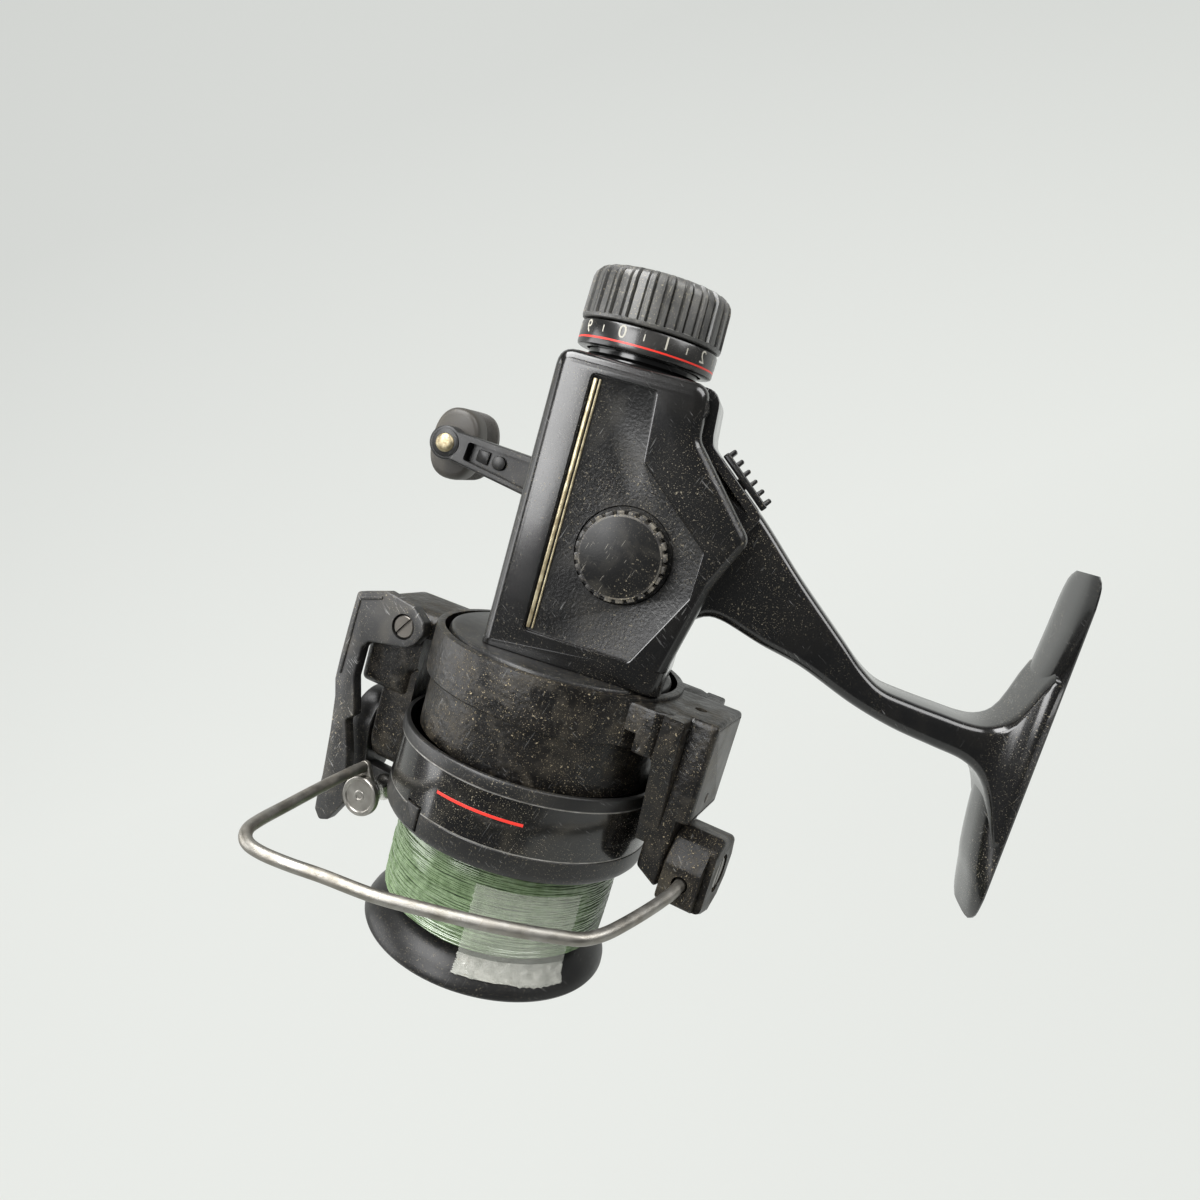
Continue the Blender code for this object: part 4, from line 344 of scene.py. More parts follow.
def ringTree():
    tree, start, end = groupTree("ringOfCopies", [("Count", "NodeSocketInt", 24),
                                                  ("Finish", "NodeSocketMaterial", None)])
    points = tree.nodes.new("GeometryNodePoints")
    tree.links.new(start.outputs["Count"], points.inputs["Count"])
    index = tree.nodes.new("GeometryNodeInputIndex").outputs[0]
    turn = treeMath(tree, "MULTIPLY", index, 2 * math.pi)
    turn = treeMath(tree, "DIVIDE", turn, start.outputs["Count"])
    spin = tree.nodes.new("ShaderNodeCombineXYZ")
    tree.links.new(turn, spin.inputs[0])
    copies = tree.nodes.new("GeometryNodeInstanceOnPoints")
    tree.links.new(points.outputs[0], copies.inputs["Points"])
    tree.links.new(start.outputs["Geometry"], copies.inputs["Instance"])
    tree.links.new(spin.outputs[0], copies.inputs["Rotation"])
    closeTree(tree, start, end, copies.outputs[0])
    return tree


def rowTree():
    tree, start, end = groupTree("rowOfCopies", [("Count", "NodeSocketInt", 6),
                                                 ("Step", "NodeSocketVector", (1, 0, 0)),
                                                 ("Finish", "NodeSocketMaterial", None)])
    line = tree.nodes.new("GeometryNodeMeshLine")
    tree.links.new(start.outputs["Count"], line.inputs["Count"])
    tree.links.new(start.outputs["Step"], line.inputs["Offset"])
    copies = tree.nodes.new("GeometryNodeInstanceOnPoints")
    tree.links.new(line.outputs[0], copies.inputs["Points"])
    tree.links.new(start.outputs["Geometry"], copies.inputs["Instance"])
    closeTree(tree, start, end, copies.outputs[0])
    return tree


def windingTree():
    tree, start, end = groupTree("lineWinding", [
        ("Turns", "NodeSocketFloat", 100.0), ("Points", "NodeSocketInt", 5000),
        ("Passes", "NodeSocketFloat", 3.0), ("Rear", "NodeSocketFloat", 0.0),
        ("Length", "NodeSocketFloat", 10.0), ("Radius", "NodeSocketFloat", 20.0),
        ("Growth", "NodeSocketFloat", 0.3), ("Wander", "NodeSocketFloat", 0.2),
        ("Line radius", "NodeSocketFloat", 0.15), ("Finish", "NodeSocketMaterial", None)])
    given, link = start.outputs, tree.links.new

    def calc(operation, first, second=0.0):
        return treeMath(tree, operation, first, second)

    line = tree.nodes.new("GeometryNodeMeshLine")
    link(given["Points"], line.inputs["Count"])
    curve = tree.nodes.new("GeometryNodeMeshToCurve")
    link(line.outputs[0], curve.inputs[0])
    share = calc("DIVIDE", tree.nodes.new("GeometryNodeInputIndex").outputs[0], given["Points"])
    turns = calc("MULTIPLY", share, given["Turns"])
    angle = calc("MULTIPLY", turns, 2 * math.pi)
    travel = calc("PINGPONG", calc("MULTIPLY", share, given["Passes"]), 1.0)
    grain = tree.nodes.new("ShaderNodeTexNoise")
    grain.noise_dimensions = "1D"
    grain.inputs["Scale"].default_value = 1.0
    link(calc("MULTIPLY", turns, 1.7), grain.inputs["W"])
    drift = calc("MULTIPLY", calc("SUBTRACT", grain.outputs[0], 0.5), given["Wander"])
    along = calc("ADD", calc("ADD", given["Rear"], calc("MULTIPLY", travel, given["Length"])), drift)
    crown = calc("MULTIPLY", calc("SINE", calc("MULTIPLY", travel, math.pi)), 0.12)
    reach = calc("ADD", given["Radius"], calc("MULTIPLY", share, given["Growth"]))
    reach = calc("ADD", calc("ADD", reach, crown), calc("MULTIPLY", drift, 0.15))
    place = tree.nodes.new("ShaderNodeCombineXYZ")
    link(along, place.inputs[0])
    link(calc("MULTIPLY", reach, calc("COSINE", angle)), place.inputs[1])
    link(calc("MULTIPLY", reach, calc("SINE", angle)), place.inputs[2])
    put = tree.nodes.new("GeometryNodeSetPosition")
    link(curve.outputs[0], put.inputs["Geometry"])
    link(place.outputs[0], put.inputs["Position"])
    section = tree.nodes.new("GeometryNodeCurvePrimitiveCircle")
    section.inputs["Resolution"].default_value = 5
    link(given["Line radius"], section.inputs["Radius"])
    skin = tree.nodes.new("GeometryNodeCurveToMesh")
    link(put.outputs[0], skin.inputs["Curve"])
    link(section.outputs[0], skin.inputs["Profile Curve"])
    skin.inputs["Fill Caps"].default_value = True
    smooth = tree.nodes.new("GeometryNodeSetShadeSmooth")
    link(skin.outputs[0], smooth.inputs["Geometry"])
    closeTree(tree, start, end, smooth.outputs[0])
    return tree


trees = {"ring": ringTree(), "row": rowTree(), "winding": windingTree()}


def grown(treeName, bm, values):
    item = helperObject("seed", bm)
    tree = trees[treeName]
    modifier = item.modifiers.new("grow", "NODES")
    modifier.node_group = tree
    for socket in tree.interface.items_tree:
        if socket.in_out == "INPUT" and socket.name in values:
            modifier[socket.identifier] = values[socket.name]
    mesh = evaluatedMesh(item)
    result = bmesh.new()
    result.from_mesh(mesh)
    bpy.data.meshes.remove(mesh)
    item.modifiers.remove(modifier)
    dropObject(item)
    return result


# Materials

# What a finish has where it names nothing else
plainLook = dict(cloudScale=90, grain=0.08, grainScale=3500, grainDepth=0.00004,
                 scratch=0, scratchColour=(0.30, 0.30, 0.29),
                 film=0, filmScale=75, filmColour=(0.20, 0.19, 0.17),
                 dust=0, dustScale=2300, dustPatch=60, dustLeast=0.05, dustColour=(0.46, 0.40, 0.28),
                 metal=0.0, specular=0.5, coat=0.0, coatRough=0.1, alpha=1.0)
# Fine scratches run two ways: how they stretch, their turn, and where hairs and patches begin
scratchRuns = [dict(stretch=(5200, 260, 420), turn=(0.2, 0.62, 0.1), hair=0.66, patchScale=170, patch=0.50),
               dict(stretch=(300, 420, 5600), turn=(0.1, 0.28, 0.3), hair=0.67, patchScale=140, patch=0.52)]


def mouldedMaterial(name, look):
    look = {**plainLook, **look}
    material = bpy.data.materials.new(name)
    material.use_nodes = True
    tree = material.node_tree
    nodes, link = tree.nodes, tree.links.new
    shader = nodes["Principled BSDF"]
    place = nodes.new("ShaderNodeTexCoord").outputs["Object"]

    def noise(scale, detail=3.0, stretch=None, distortion=0.0, turn=(0, 0, 0)):
        vector = place
        if stretch:
            mapping = nodes.new("ShaderNodeMapping")
            mapping.vector_type = "TEXTURE"
            mapping.inputs["Scale"].default_value = [1 / share for share in stretch]
            mapping.inputs["Rotation"].default_value = turn
            link(place, mapping.inputs["Vector"])
            vector = mapping.outputs[0]
        node = nodes.new("ShaderNodeTexNoise")
        node.inputs["Scale"].default_value = scale
        node.inputs["Detail"].default_value = detail
        node.inputs["Distortion"].default_value = distortion
        link(vector, node.inputs["Vector"])
        return node.outputs["Fac"]

    def window(value, low, high, bottom=0.0, top=1.0):
        node = nodes.new("ShaderNodeMapRange")
        for socket, number in zip(node.inputs[1:5], (low, high, bottom, top)):
            socket.default_value = number
        link(value, node.inputs[0])
        return node.outputs[0]

    def maths(operation, first, second):
        return treeMath(tree, operation, first, second)

    def mixed(fac, first, second):
        node = nodes.new("ShaderNodeMix")
        node.data_type = "RGBA"
        link(fac, node.inputs["Factor"])
        for socket, value in zip((node.inputs["A"], node.inputs["B"]), (first, second)):
            if isinstance(value, tuple):
                socket.default_value = (*value, 1)
            else:
                link(value, socket)
        return node.outputs["Result"]

    def roughened(value, layer, share):
        return maths("ADD", value, maths("MULTIPLY", layer, share))

    second = look.get("second", tuple(c * 1.5 for c in look["colour"]))
    colour = mixed(window(noise(look["cloudScale"], 4), 0.3, 0.7), look["colour"], second)
    rough = window(noise(look["cloudScale"] * 1.7, 5), 0.25, 0.75, look["rough"] * 0.8, look["rough"] * 1.25)
    height = noise(look["grainScale"], 2)
    if look["scratch"]:
        streaks = []
        for run in scratchRuns:
            hair = window(noise(1, 2, run["stretch"], 0.25, run["turn"]), run["hair"], run["hair"] + 0.04)
            patch = window(noise(run["patchScale"], 2), run["patch"], 0.62)
            streaks.append(maths("MULTIPLY", hair, patch))
        marks = maths("MULTIPLY", maths("MAXIMUM", *streaks), look["scratch"])
        colour = mixed(marks, colour, look["scratchColour"])
        rough = roughened(rough, marks, 0.2)
    if look["film"]:
        film = maths("MULTIPLY", window(noise(look["filmScale"], 7, None, 0.8), 0.48, 0.74), look["film"])
        colour = mixed(film, colour, look["filmColour"])
        rough = roughened(rough, film, 0.5)
    if look["dust"]:
        coarse = window(noise(look["dustScale"], 1), 0.705, 0.735)
        fine = window(noise(5200, 1), 0.655, 0.72)
        patches = window(noise(look["dustPatch"], 4), 0.40, 0.68, look["dustLeast"], 1.0)
        grit = maths("MULTIPLY", maths("MAXIMUM", coarse, fine), patches)
        dust = maths("MULTIPLY", grit, look["dust"])
        colour = mixed(dust, colour, look["dustColour"])
        rough = roughened(rough, dust, 0.5)
        height = maths("ADD", height, maths("MULTIPLY", dust, 1.2))
    link(colour, shader.inputs["Base Color"])
    link(rough, shader.inputs["Roughness"])
    bump = nodes.new("ShaderNodeBump")
    bump.inputs["Strength"].default_value = look["grain"]
    bump.inputs["Distance"].default_value = look["grainDepth"]
    link(height, bump.inputs["Height"])
    link(bump.outputs[0], shader.inputs["Normal"])
    for socket, word in (("Metallic", "metal"), ("Specular IOR Level", "specular"), ("Coat Weight", "coat"),
                         ("Coat Roughness", "coatRough"), ("Alpha", "alpha")):
        shader.inputs[socket].default_value = look[word]
    return material


finishes = {
    "glossBlack": dict(colour=(0.003, 0.003, 0.003), second=(0.005, 0.005, 0.005), rough=0.19, cloudScale=60,
                       specular=0.45, grain=0.16, grainScale=1500, film=0.06, filmColour=(0.07, 0.06, 0.045),
                       dust=0.32, dustLeast=0.0, scratch=0.22, coat=0.35, coatRough=0.14),
    "panelGrey": dict(colour=(0.005, 0.005, 0.005), rough=0.31, specular=0.34, grain=0.6, grainScale=1800,
                      grainDepth=0.00008, film=0.2, filmScale=150, filmColour=(0.05, 0.045, 0.035),
                      dust=0.45, dustLeast=0.0, scratch=0.35),
    "capBlack": dict(colour=(0.004, 0.004, 0.004), rough=0.32, specular=0.3, grain=0.3, film=0.26, filmScale=160,
                     filmColour=(0.10, 0.09, 0.07), dust=0.6, scratch=0.65, scratchColour=(0.30, 0.28, 0.24)),
    "capRim": dict(colour=(0.012, 0.011, 0.010), rough=0.42, grain=0.3, film=0.8, filmScale=260,
                   filmColour=(0.20, 0.18, 0.14), dust=1.0, dustLeast=0.4, scratch=0.4),
    "rotorBlack": dict(colour=(0.002, 0.002, 0.002), second=(0.007, 0.006, 0.005), rough=0.34, cloudScale=190,
                       specular=0.32, grain=0.9, grainScale=850, grainDepth=0.00016, film=0.36, filmScale=240,
                       filmColour=(0.062, 0.052, 0.036), dust=0.95, dustLeast=0.15, dustPatch=48,
                       dustColour=(0.40, 0.33, 0.21), scratch=0.35),
    "blockBlack": dict(colour=(0.003, 0.003, 0.003), second=(0.008, 0.007, 0.006), rough=0.40, cloudScale=190,
                       specular=0.16, grain=0.8, grainScale=1000, grainDepth=0.00013, film=0.45, filmScale=150,
                       filmColour=(0.070, 0.060, 0.042), dust=0.9, dustLeast=0.15, dustPatch=48,
                       dustColour=(0.40, 0.33, 0.21), scratch=0.5),
    "coverGrey": dict(colour=(0.030, 0.029, 0.027), second=(0.05, 0.048, 0.044), rough=0.42, grain=0.3, film=0.5,
                      filmScale=140, filmColour=(0.16, 0.15, 0.12), dust=0.8, dustLeast=0.3, scratch=0.6),
    "satinBlack": dict(colour=(0.006, 0.006, 0.006), rough=0.34, specular=0.4, grain=0.2, film=0.15,
                       filmColour=(0.06, 0.055, 0.045), dust=0.35, scratch=0.25),
    "bandBlack": dict(colour=(0.003, 0.003, 0.003), rough=0.16, grain=0.06, film=0.16, filmScale=120,
                      filmColour=(0.07, 0.06, 0.04), dust=0.4, scratch=0.2, coat=0.4, coatRough=0.08),
    "lipBlack": dict(colour=(0.007, 0.007, 0.007), rough=0.36, specular=0.27, grain=0.25, grainScale=3800,
                     film=0.10, filmColour=(0.06, 0.055, 0.045), dust=0.2, scratch=0.15),
    "triggerGrey": dict(colour=(0.013, 0.013, 0.013), rough=0.40, grain=0.3, film=0.35, filmScale=130,
                        filmColour=(0.09, 0.08, 0.06), dust=0.7, scratch=0.8),
    "knobGrey": dict(colour=(0.036, 0.036, 0.035), rough=0.34, specular=0.6, grain=0.3, film=0.35, filmScale=120,
                     filmColour=(0.12, 0.115, 0.095), dust=0.8, dustLeast=0.2, scratch=0.4,
                     scratchColour=(0.34, 0.31, 0.24)),
    # Lighter finish of the knob's rib crests and flats: real wear together with a painted sheen
    "knobWornAndSheen": dict(colour=(0.07, 0.069, 0.066), second=(0.13, 0.125, 0.12), rough=0.44, cloudScale=500,
                     grain=0.4, film=0.4, filmColour=(0.18, 0.17, 0.15), dust=0.4, scratch=0.5),
    "scaleBlack": dict(colour=(0.006, 0.006, 0.006), rough=0.24, grain=0.12, film=0.15, dust=0.3, scratch=0.3,
                       coat=0.2),
    "gripRubber": dict(colour=(0.020, 0.018, 0.015), second=(0.034, 0.030, 0.024), rough=0.48, grain=0.35,
                       grainScale=2600, film=0.35, filmColour=(0.10, 0.09, 0.07), dust=0.3),
    "steel": dict(colour=(0.40, 0.39, 0.36), second=(0.28, 0.265, 0.24), rough=0.36, metal=1.0,
                  cloudScale=260, grain=0.2, grainScale=2600, dust=0.35, dustColour=(0.13, 0.10, 0.065),
                  scratch=0.35, scratchColour=(0.24, 0.22, 0.20)),
    "wireSteel": dict(colour=(0.32, 0.31, 0.285), second=(0.20, 0.188, 0.162), rough=0.42, metal=1.0,
                      cloudScale=330, grain=0.3, grainScale=2200, film=0.35, filmScale=140,
                      filmColour=(0.17, 0.14, 0.10), dust=0.5, dustColour=(0.10, 0.07, 0.04), scratch=0.5,
                      scratchColour=(0.24, 0.21, 0.17)),
    "brightSteel": dict(colour=(0.60, 0.59, 0.56), rough=0.24, metal=1.0, grain=0.06, dust=0.15,
                        dustColour=(0.18, 0.15, 0.10)),
    "darkSteel": dict(colour=(0.17, 0.16, 0.145), second=(0.10, 0.09, 0.08), rough=0.40, metal=1.0,
                      grain=0.2, dust=0.7, dustColour=(0.20, 0.16, 0.10), scratch=0.4),
    "brass": dict(colour=(0.42, 0.37, 0.25), second=(0.24, 0.19, 0.11), rough=0.40, metal=1.0,
                  cloudScale=1500, grain=0.9, grainScale=2600, dust=0.8, dustLeast=0.4,
                  dustColour=(0.10, 0.07, 0.04)),
    "bronze": dict(colour=(0.40, 0.28, 0.16), rough=0.40, metal=1.0, grain=0.15),
    "castAlloy": dict(colour=(0.46, 0.45, 0.43), rough=0.42, metal=1.0, grain=0.3, grainScale=1500),
    "whiteResin": dict(colour=(0.68, 0.67, 0.62), rough=0.42, grain=0.08, film=0.2,
                       filmColour=(0.45, 0.40, 0.30)),
    "fibre": dict(colour=(0.24, 0.18, 0.12), second=(0.34, 0.27, 0.18), rough=0.8, cloudScale=900,
                  grain=0.4, grainScale=1400),
    "goldPaint": dict(colour=(0.60, 0.53, 0.35), second=(0.26, 0.21, 0.12), rough=0.34, metal=0.5,
                      cloudScale=650, grain=0.3, dust=0.9, dustScale=1800, dustLeast=0.3,
                      dustColour=(0.02, 0.018, 0.014)),
    "silverLine": dict(colour=(0.34, 0.33, 0.31), second=(0.14, 0.135, 0.12), rough=0.35, metal=0.6,
                       cloudScale=500, grain=0.1, dust=0.5, dustColour=(0.02, 0.02, 0.02)),
    "redPaint": dict(colour=(0.66, 0.030, 0.018), second=(0.50, 0.025, 0.016), rough=0.35, grain=0.1,
                     dust=0.3, dustColour=(0.08, 0.03, 0.02)),
    "numeralPaint": dict(colour=(0.44, 0.42, 0.36), second=(0.26, 0.25, 0.21), rough=0.5, grain=0.1),
    "lineGreen": dict(colour=(0.085, 0.130, 0.060), second=(0.175, 0.240, 0.135), cloudScale=700, rough=0.20,
                      grain=0.05, grainScale=3000, specular=0.8),
    # Dark green of the line's core: painted shade in the gaps between the strands of the winding
    "lineDeep": dict(colour=(0.025, 0.045, 0.02), second=(0.06, 0.09, 0.045), cloudScale=1500, rough=0.5,
                     grain=0.2, grainScale=3000),
    "tapeClear": dict(colour=(0.48, 0.50, 0.44), second=(0.64, 0.65, 0.58), cloudScale=240, rough=0.22,
                      grain=0.6, grainScale=500, grainDepth=0.00012, alpha=0.15, dust=0.3,
                      dustColour=(0.35, 0.25, 0.12)),
    "tapeFrost": dict(colour=(0.42, 0.43, 0.38), second=(0.66, 0.66, 0.60), cloudScale=700, rough=0.20,
                      grain=0.8, grainScale=420, grainDepth=0.0002, alpha=0.36, dust=0.6,
                      dustColour=(0.40, 0.28, 0.12)),
}
mats = {name: mouldedMaterial(name, look) for name, look in finishes.items()}
print("materials made:", len(mats))


def finishPiece(name, bm, place, body, finish, nodes=(), angle=32, paint=None):
    bmesh.ops.transform(bm, matrix=place, verts=bm.verts[:])
    mesh = bpy.data.meshes.new(name)
    bm.to_mesh(mesh)
    bm.free()
    mesh.materials.clear()
    for entry in (finish if isinstance(finish, (list, tuple)) else [finish]):
        mesh.materials.append(mats[entry])
    mesh.shade_smooth()
    mesh.set_sharp_from_angle(angle=math.radians(angle))
    if paint:
        back = place.inverted()
        for face in mesh.polygons:
            face.material_index = paint(back @ face.center, back.to_3x3() @ face.normal)
    item = bpy.data.objects.new(name, mesh)
    scene.collection.objects.link(item)
    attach(item, body)
    if nodes:
        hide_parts(*nodes)
    return item


# Housing, cover, stem and foot

housing = dict(half=14.6, split=8.2, wall=1.7, corner=3.0, innerCorner=1.6, edge=2.1, coverEdge=2.2, seam=0.25)
housingOutline = [(-42, -12), (8.8, -12), (5.4, 19.8), (-10.8, 23.1), (-21.1, 26.1), (-24.1, 27.6),
                  (-33.2, 16.2), (-34.9, 15.8), (-42, 15.1)]
coverOutline = [(-42, -12), (8.8, -12), (5.4, 19.8), (-10.8, 23.1), (-19.8, 26.9), (-33.4, 14.3),
                (-42, 13.6)]
panelOutline = [(-38.8, -5.3), (4.9, -5.3), (4.9, 13.4), (-8.3, 20.0), (-16.3, 20.0), (-27.4, 6.6),
                (-38.8, 5.6)]
noseCutter = [(9.66, -20), (25, -20), (25, 30), (4.31, 30)]
neckProfile = [(-47, 0), (-47, 9.5), (-46.7, 9.8), (-43.0, 9.8), (-42.4, 10.3), (-41, 10.4), (-41, 0)]
bossProfile = [(10.5, 0), (10.5, 7.6), (16.2, 7.6), (16.8, 7.4), (17.0, 6.9), (17.0, 0)]
railPost = ((-29.5, -27.5), (-2.3, 2.3), (-11.2, -5.3))
# Each bore, like the barrel, is from, to and radius
barrel = (-42, -28.5, 10.0)
bores = dict(dragChamber=(-48, -30.2, 9.0), shaftPassage=(-31, -26, 3.1), nose=(2.8, 10, 9.9),
             driveBush=(9.5, 15.3, 5.7), driveShaft=(10.5, 18, 5.1), rail=(-29.5, -26.5, 1.6))
coverScrew = dict(places=[(1.6, -8.5), (-19.8, 21.8), (-38.0, 11.6)], shank=1.1, hole=1.4, head=2.1, sink=2.4,
                  post=2.6, postTop=13.8, tip=-12.3, seat=13.25, top=14.45, edge=0.25, sinkDepth=1.5,
                  crossHalf=0.24, crossReach=1.35, crossFloor=13.6, crossTurns=(25, 115))
flange = dict(half=14.8, low=-12.05, high=20.0, rear=3.5, front=9.3, edge=0.25, corner=2.3)
flangeSlope = [(0, -20), (9.19, -20), (3.89, 30), (0, 30)]
switch = dict(upSlope=8.0, slot=(-3.6, 1.6, -3.4, 1.5), slotHalf=1.6, base=(-5.75, 5.75, 0.3, 1.5), half=4.0,
              post=(-1.1, 1.1, -3.2, 0.6), postHalf=1.1, ribs=6, ribPitch=2.06, ribHalf=3.8)


def pastNose(outline):
    longer = {housingOutline[1]: (14.8, -12), housingOutline[2]: (11.28, 18.6)}
    return [longer.get(point, point) for point in outline]


# u runs up the slope behind the stem, v out of it
def slopePoint(u, v):
    low, high = Vector(housingOutline[6]), Vector(housingOutline[5])
    along = (high - low).normalized()
    point = low + along * (switch["upSlope"] + u) + Vector((-along.y, along.x)) * v
    return point.x, point.y


def slopeBox(u0, u1, v0, v1):
    return [slopePoint(u, v) for u, v in ((u0, v0), (u1, v0), (u1, v1), (u0, v1))]


def rodAt(place, low, high, radius, steps=40, axis="y"):
    if len(place) == 2:
        place = (place[0], 0, place[1])
    return shifted(rod(low, high, radius, axis, steps), place)


def housingHoles():
    c = coverScrew
    holes = [rod(*bores[name]) for name in ("dragChamber", "shaftPassage", "nose")]
    holes += [rodAt(places["drive"], *bores[name]) for name in ("driveBush", "driveShaft")]
    holes.append(rodAt(places["rail"], *bores["rail"], 40, "x"))
    for place in c["places"]:
        holes.append(rodAt(place, -9.2, 16, c["hole"], 20))
        holes.append(rodAt(place, housing["half"] - c["sinkDepth"], 16, c["sink"], 28))
    holes.append(prism(slopeBox(*switch["slot"]), -switch["slotHalf"], switch["slotHalf"]))
    return holes


def makeHousing():
    h, f, c = housing, flange, coverScrew
    shell = prism(pastNose(housingOutline), -h["split"], h["half"], "xz", 0.25, h["edge"], 5, h["corner"])
    shell = cut(shell, prism(noseCutter, -20, 20))
    inside = prism(inset(housingOutline, h["wall"]), -h["split"] - 1, h["half"] - h["wall"],
                   "xz", 0, 0, 4, h["innerCorner"])
    shell = cut(shell, inside)
    boss = shifted(turned(bossProfile, "y", 64), places["drive"])
    posts = [rodAt(place, -h["split"], c["postTop"], c["post"], 28) for place in c["places"]]
    shell = added(shell, rod(*barrel, "x", 72), turned(neckProfile), boss, *posts, block(*railPost))
    shell = cut(shell, *housingHoles())
    rim = [(-f["half"], f["low"]), (f["half"], f["low"]), (f["half"], f["high"]), (-f["half"], f["high"])]
    front = prism(rim, f["rear"], f["front"], "yz", 0, f["edge"], 3, f["corner"])
    front = cut(front, prism(flangeSlope, -20, 20))
    front = cut(front, rod(3, 10, bores["nose"][2]))
    finishPiece("noseFlange", front, axisFrame, "housing", "glossBlack")
    finishPiece("mainHousing", shell, axisFrame, "housing", "glossBlack", ["main_housing"])


def makeCoverScrews():
    c = coverScrew
    for label, (x, z) in zip(("nose", "crown", "tail"), c["places"]):
        screw = turned([(c["tip"], 0), (c["tip"], c["shank"]), (c["seat"], c["shank"]), (c["seat"], c["head"]),
                        (c["top"] - c["edge"], c["head"]), (c["top"], c["head"] - c["edge"]), (c["top"], 0)],
                       "y", 48)
        reach, half = c["crossReach"], c["crossHalf"]
        for turn in c["crossTurns"]:
            bar = block((-reach, reach), (c["crossFloor"], 16), (-half, half))
            screw = cut(screw, spun(bar, turn, "Y"))
        finishPiece("coverScrew" + label.title(), shifted(screw, (x, 0, z)), axisFrame, "housing",
                    "darkSteel", ["cover_screw_" + label])


stem = dict(half=6.4, corner=1.9, rings=64, low=20.2, high=81.2, flare=1.6, flareFrom=75.0, flareRun=5.0,
            waist=0.35, waistFrom=28, waistRun=40)
stemRear = [(20, -27.5), (24, -26.0), (27.6, -24.1), (37.3, -15.6), (47.3, -7.5), (51.5, -4.1),
            (55.5, -1.9), (60.4, -1.25), (66, -0.9), (70.5, -0.7), (73.6, -1.1), (76.0, -2.6), (77.6, -5.2),
            (78.8, -9.0), (80.0, -13.0)]
stemFront = [(20, -2.0), (23, -4.6), (26.4, -4.9), (33.75, -2.9), (41.4, -1.25), (51.1, 2.2), (58.8, 4.1),
             (66, 5.0), (71, 5.6), (74, 6.8), (76, 8.6), (77.4, 11.0), (78.8, 14.5), (80.0, 18.5)]


def valueAt(table, height):
    for (z0, x0), (z1, x1) in zip(table, table[1:]):
        if z0 <= height <= z1:
            t = (height - z0) / (z1 - z0)
            return x0 + (x1 - x0) * t
    return table[-1][1]


def smoothTable(table, steps=10):
    return [(p.x, p.y) for p in splineThrough(table, steps)]


def roundedRect(x0, x1, y0, y1, radius, steps=5):
    outline = []
    for cx, cy, start in ((x1 - radius, y1 - radius, 0), (x0 + radius, y1 - radius, 90),
                          (x0 + radius, y0 + radius, 180), (x1 - radius, y0 + radius, 270)):
        for step in range(steps + 1):
            a = math.radians(start + 90 * step / steps)
            outline.append((cx + radius * math.cos(a), cy + radius * math.sin(a)))
    return outline


def makeStem():
    s = stem
    rear, front = smoothTable(stemRear), smoothTable(stemFront)
    rings = []
    for i in range(s["rings"] + 1):
        z = s["low"] + (s["high"] - s["low"]) * i / s["rings"]
        flare = min(1.0, max(0.0, (z - s["flareFrom"]) / s["flareRun"]) ** 2) * s["flare"]
        waist = s["waist"] * math.sin(max(0.0, min(1.0, (z - s["waistFrom"]) / s["waistRun"])) * math.pi)
        half = s["half"] - waist + flare
        section = roundedRect(valueAt(rear, z), valueAt(front, z), -half, half, s["corner"])
        rings.append([Vector((x, y, z)) for x, y in section])
    finishPiece("reelStem", loft(rings), axisFrame, "housing", "glossBlack", ["main_housing"], 50)


foot = dict(rear=-30.0, front=32.0, half=8.35, top=places["footTop"], edge=0.45, rings=72, across=10)
footThickness = [(-30, 1.0), (-28.5, 1.3), (-24, 1.5), (-18, 1.8), (-11, 2.5), (-6, 3.7), (-2, 4.6), (7, 5.0),
                 (14, 4.4), (22, 3.2), (26, 2.1), (30, 1.2), (32, 0.9)]
footWidth = [(-30, 0.60), (-29.3, 0.76), (-28, 0.90), (-25.5, 0.98), (-22, 1.0), (0, 1.0), (24, 1.0),
             (27.5, 0.98), (30, 0.90), (31.3, 0.76), (32, 0.60)]


def makeFoot():
    f = foot
    thick, wide = smoothTable(footThickness, 6), smoothTable(footWidth, 6)
    top, edge = f["top"], f["edge"]
    rings = []
    for i in range(f["rings"] + 1):
        x = f["rear"] + (f["front"] - f["rear"]) * i / f["rings"]
        half, depth = f["half"] * valueAt(wide, x), valueAt(thick, x)
        section = [(-half + edge, top), (-half + edge * 0.3, top - edge * 0.3), (-half, top - edge)]
        for step in range(f["across"] + 1):
            y = -half + 2 * half * step / f["across"]
            fall = max(0.0, 1 - abs(y / half) ** 3.2)
            section.append((y, top - edge - max(depth - edge, 0.0) * fall ** 0.6))
        section += [(half, top - edge), (half - edge * 0.3, top - edge * 0.3), (half - edge, top)]
        rings.append([Vector((x, y, z)) for y, z in section])
    body = loft(rings)
    bmesh.ops.remove_doubles(body, verts=body.verts[:], dist=0.003)
    finishPiece("reelFoot", body, axisFrame, "housing", "glossBlack", ["main_housing"], 45)


# Depths count from the cover's outer face; a seat or hole is from, to and radius
cover = dict(panelDepth=0.8, brimDepth=0.24, brimWidth=0.28, pocketDepth=1.2, pocketRadius=8.3, floor=-13.6,
             socketRadius=7.1, bushSeat=(-12.75, -9.9, 5.7), shaftHole=(-15.6, -11.9, 3.9),
             axleHole=(-13.5, -11.9, 1.8), screwHole=(-12.6, -7), chamberHole=(-43, -27.5, 10.3),
             noseHole=(3.0, 10, 9.9), ribEnds=(-38.3, 4.4), ribLevels=((-5.0, -4.4), (-4.05, -3.75)),
             greyLevels=(0.3, 1.3), greyFrom=-27, greyRear=-38.7, greySlope=1.2095)


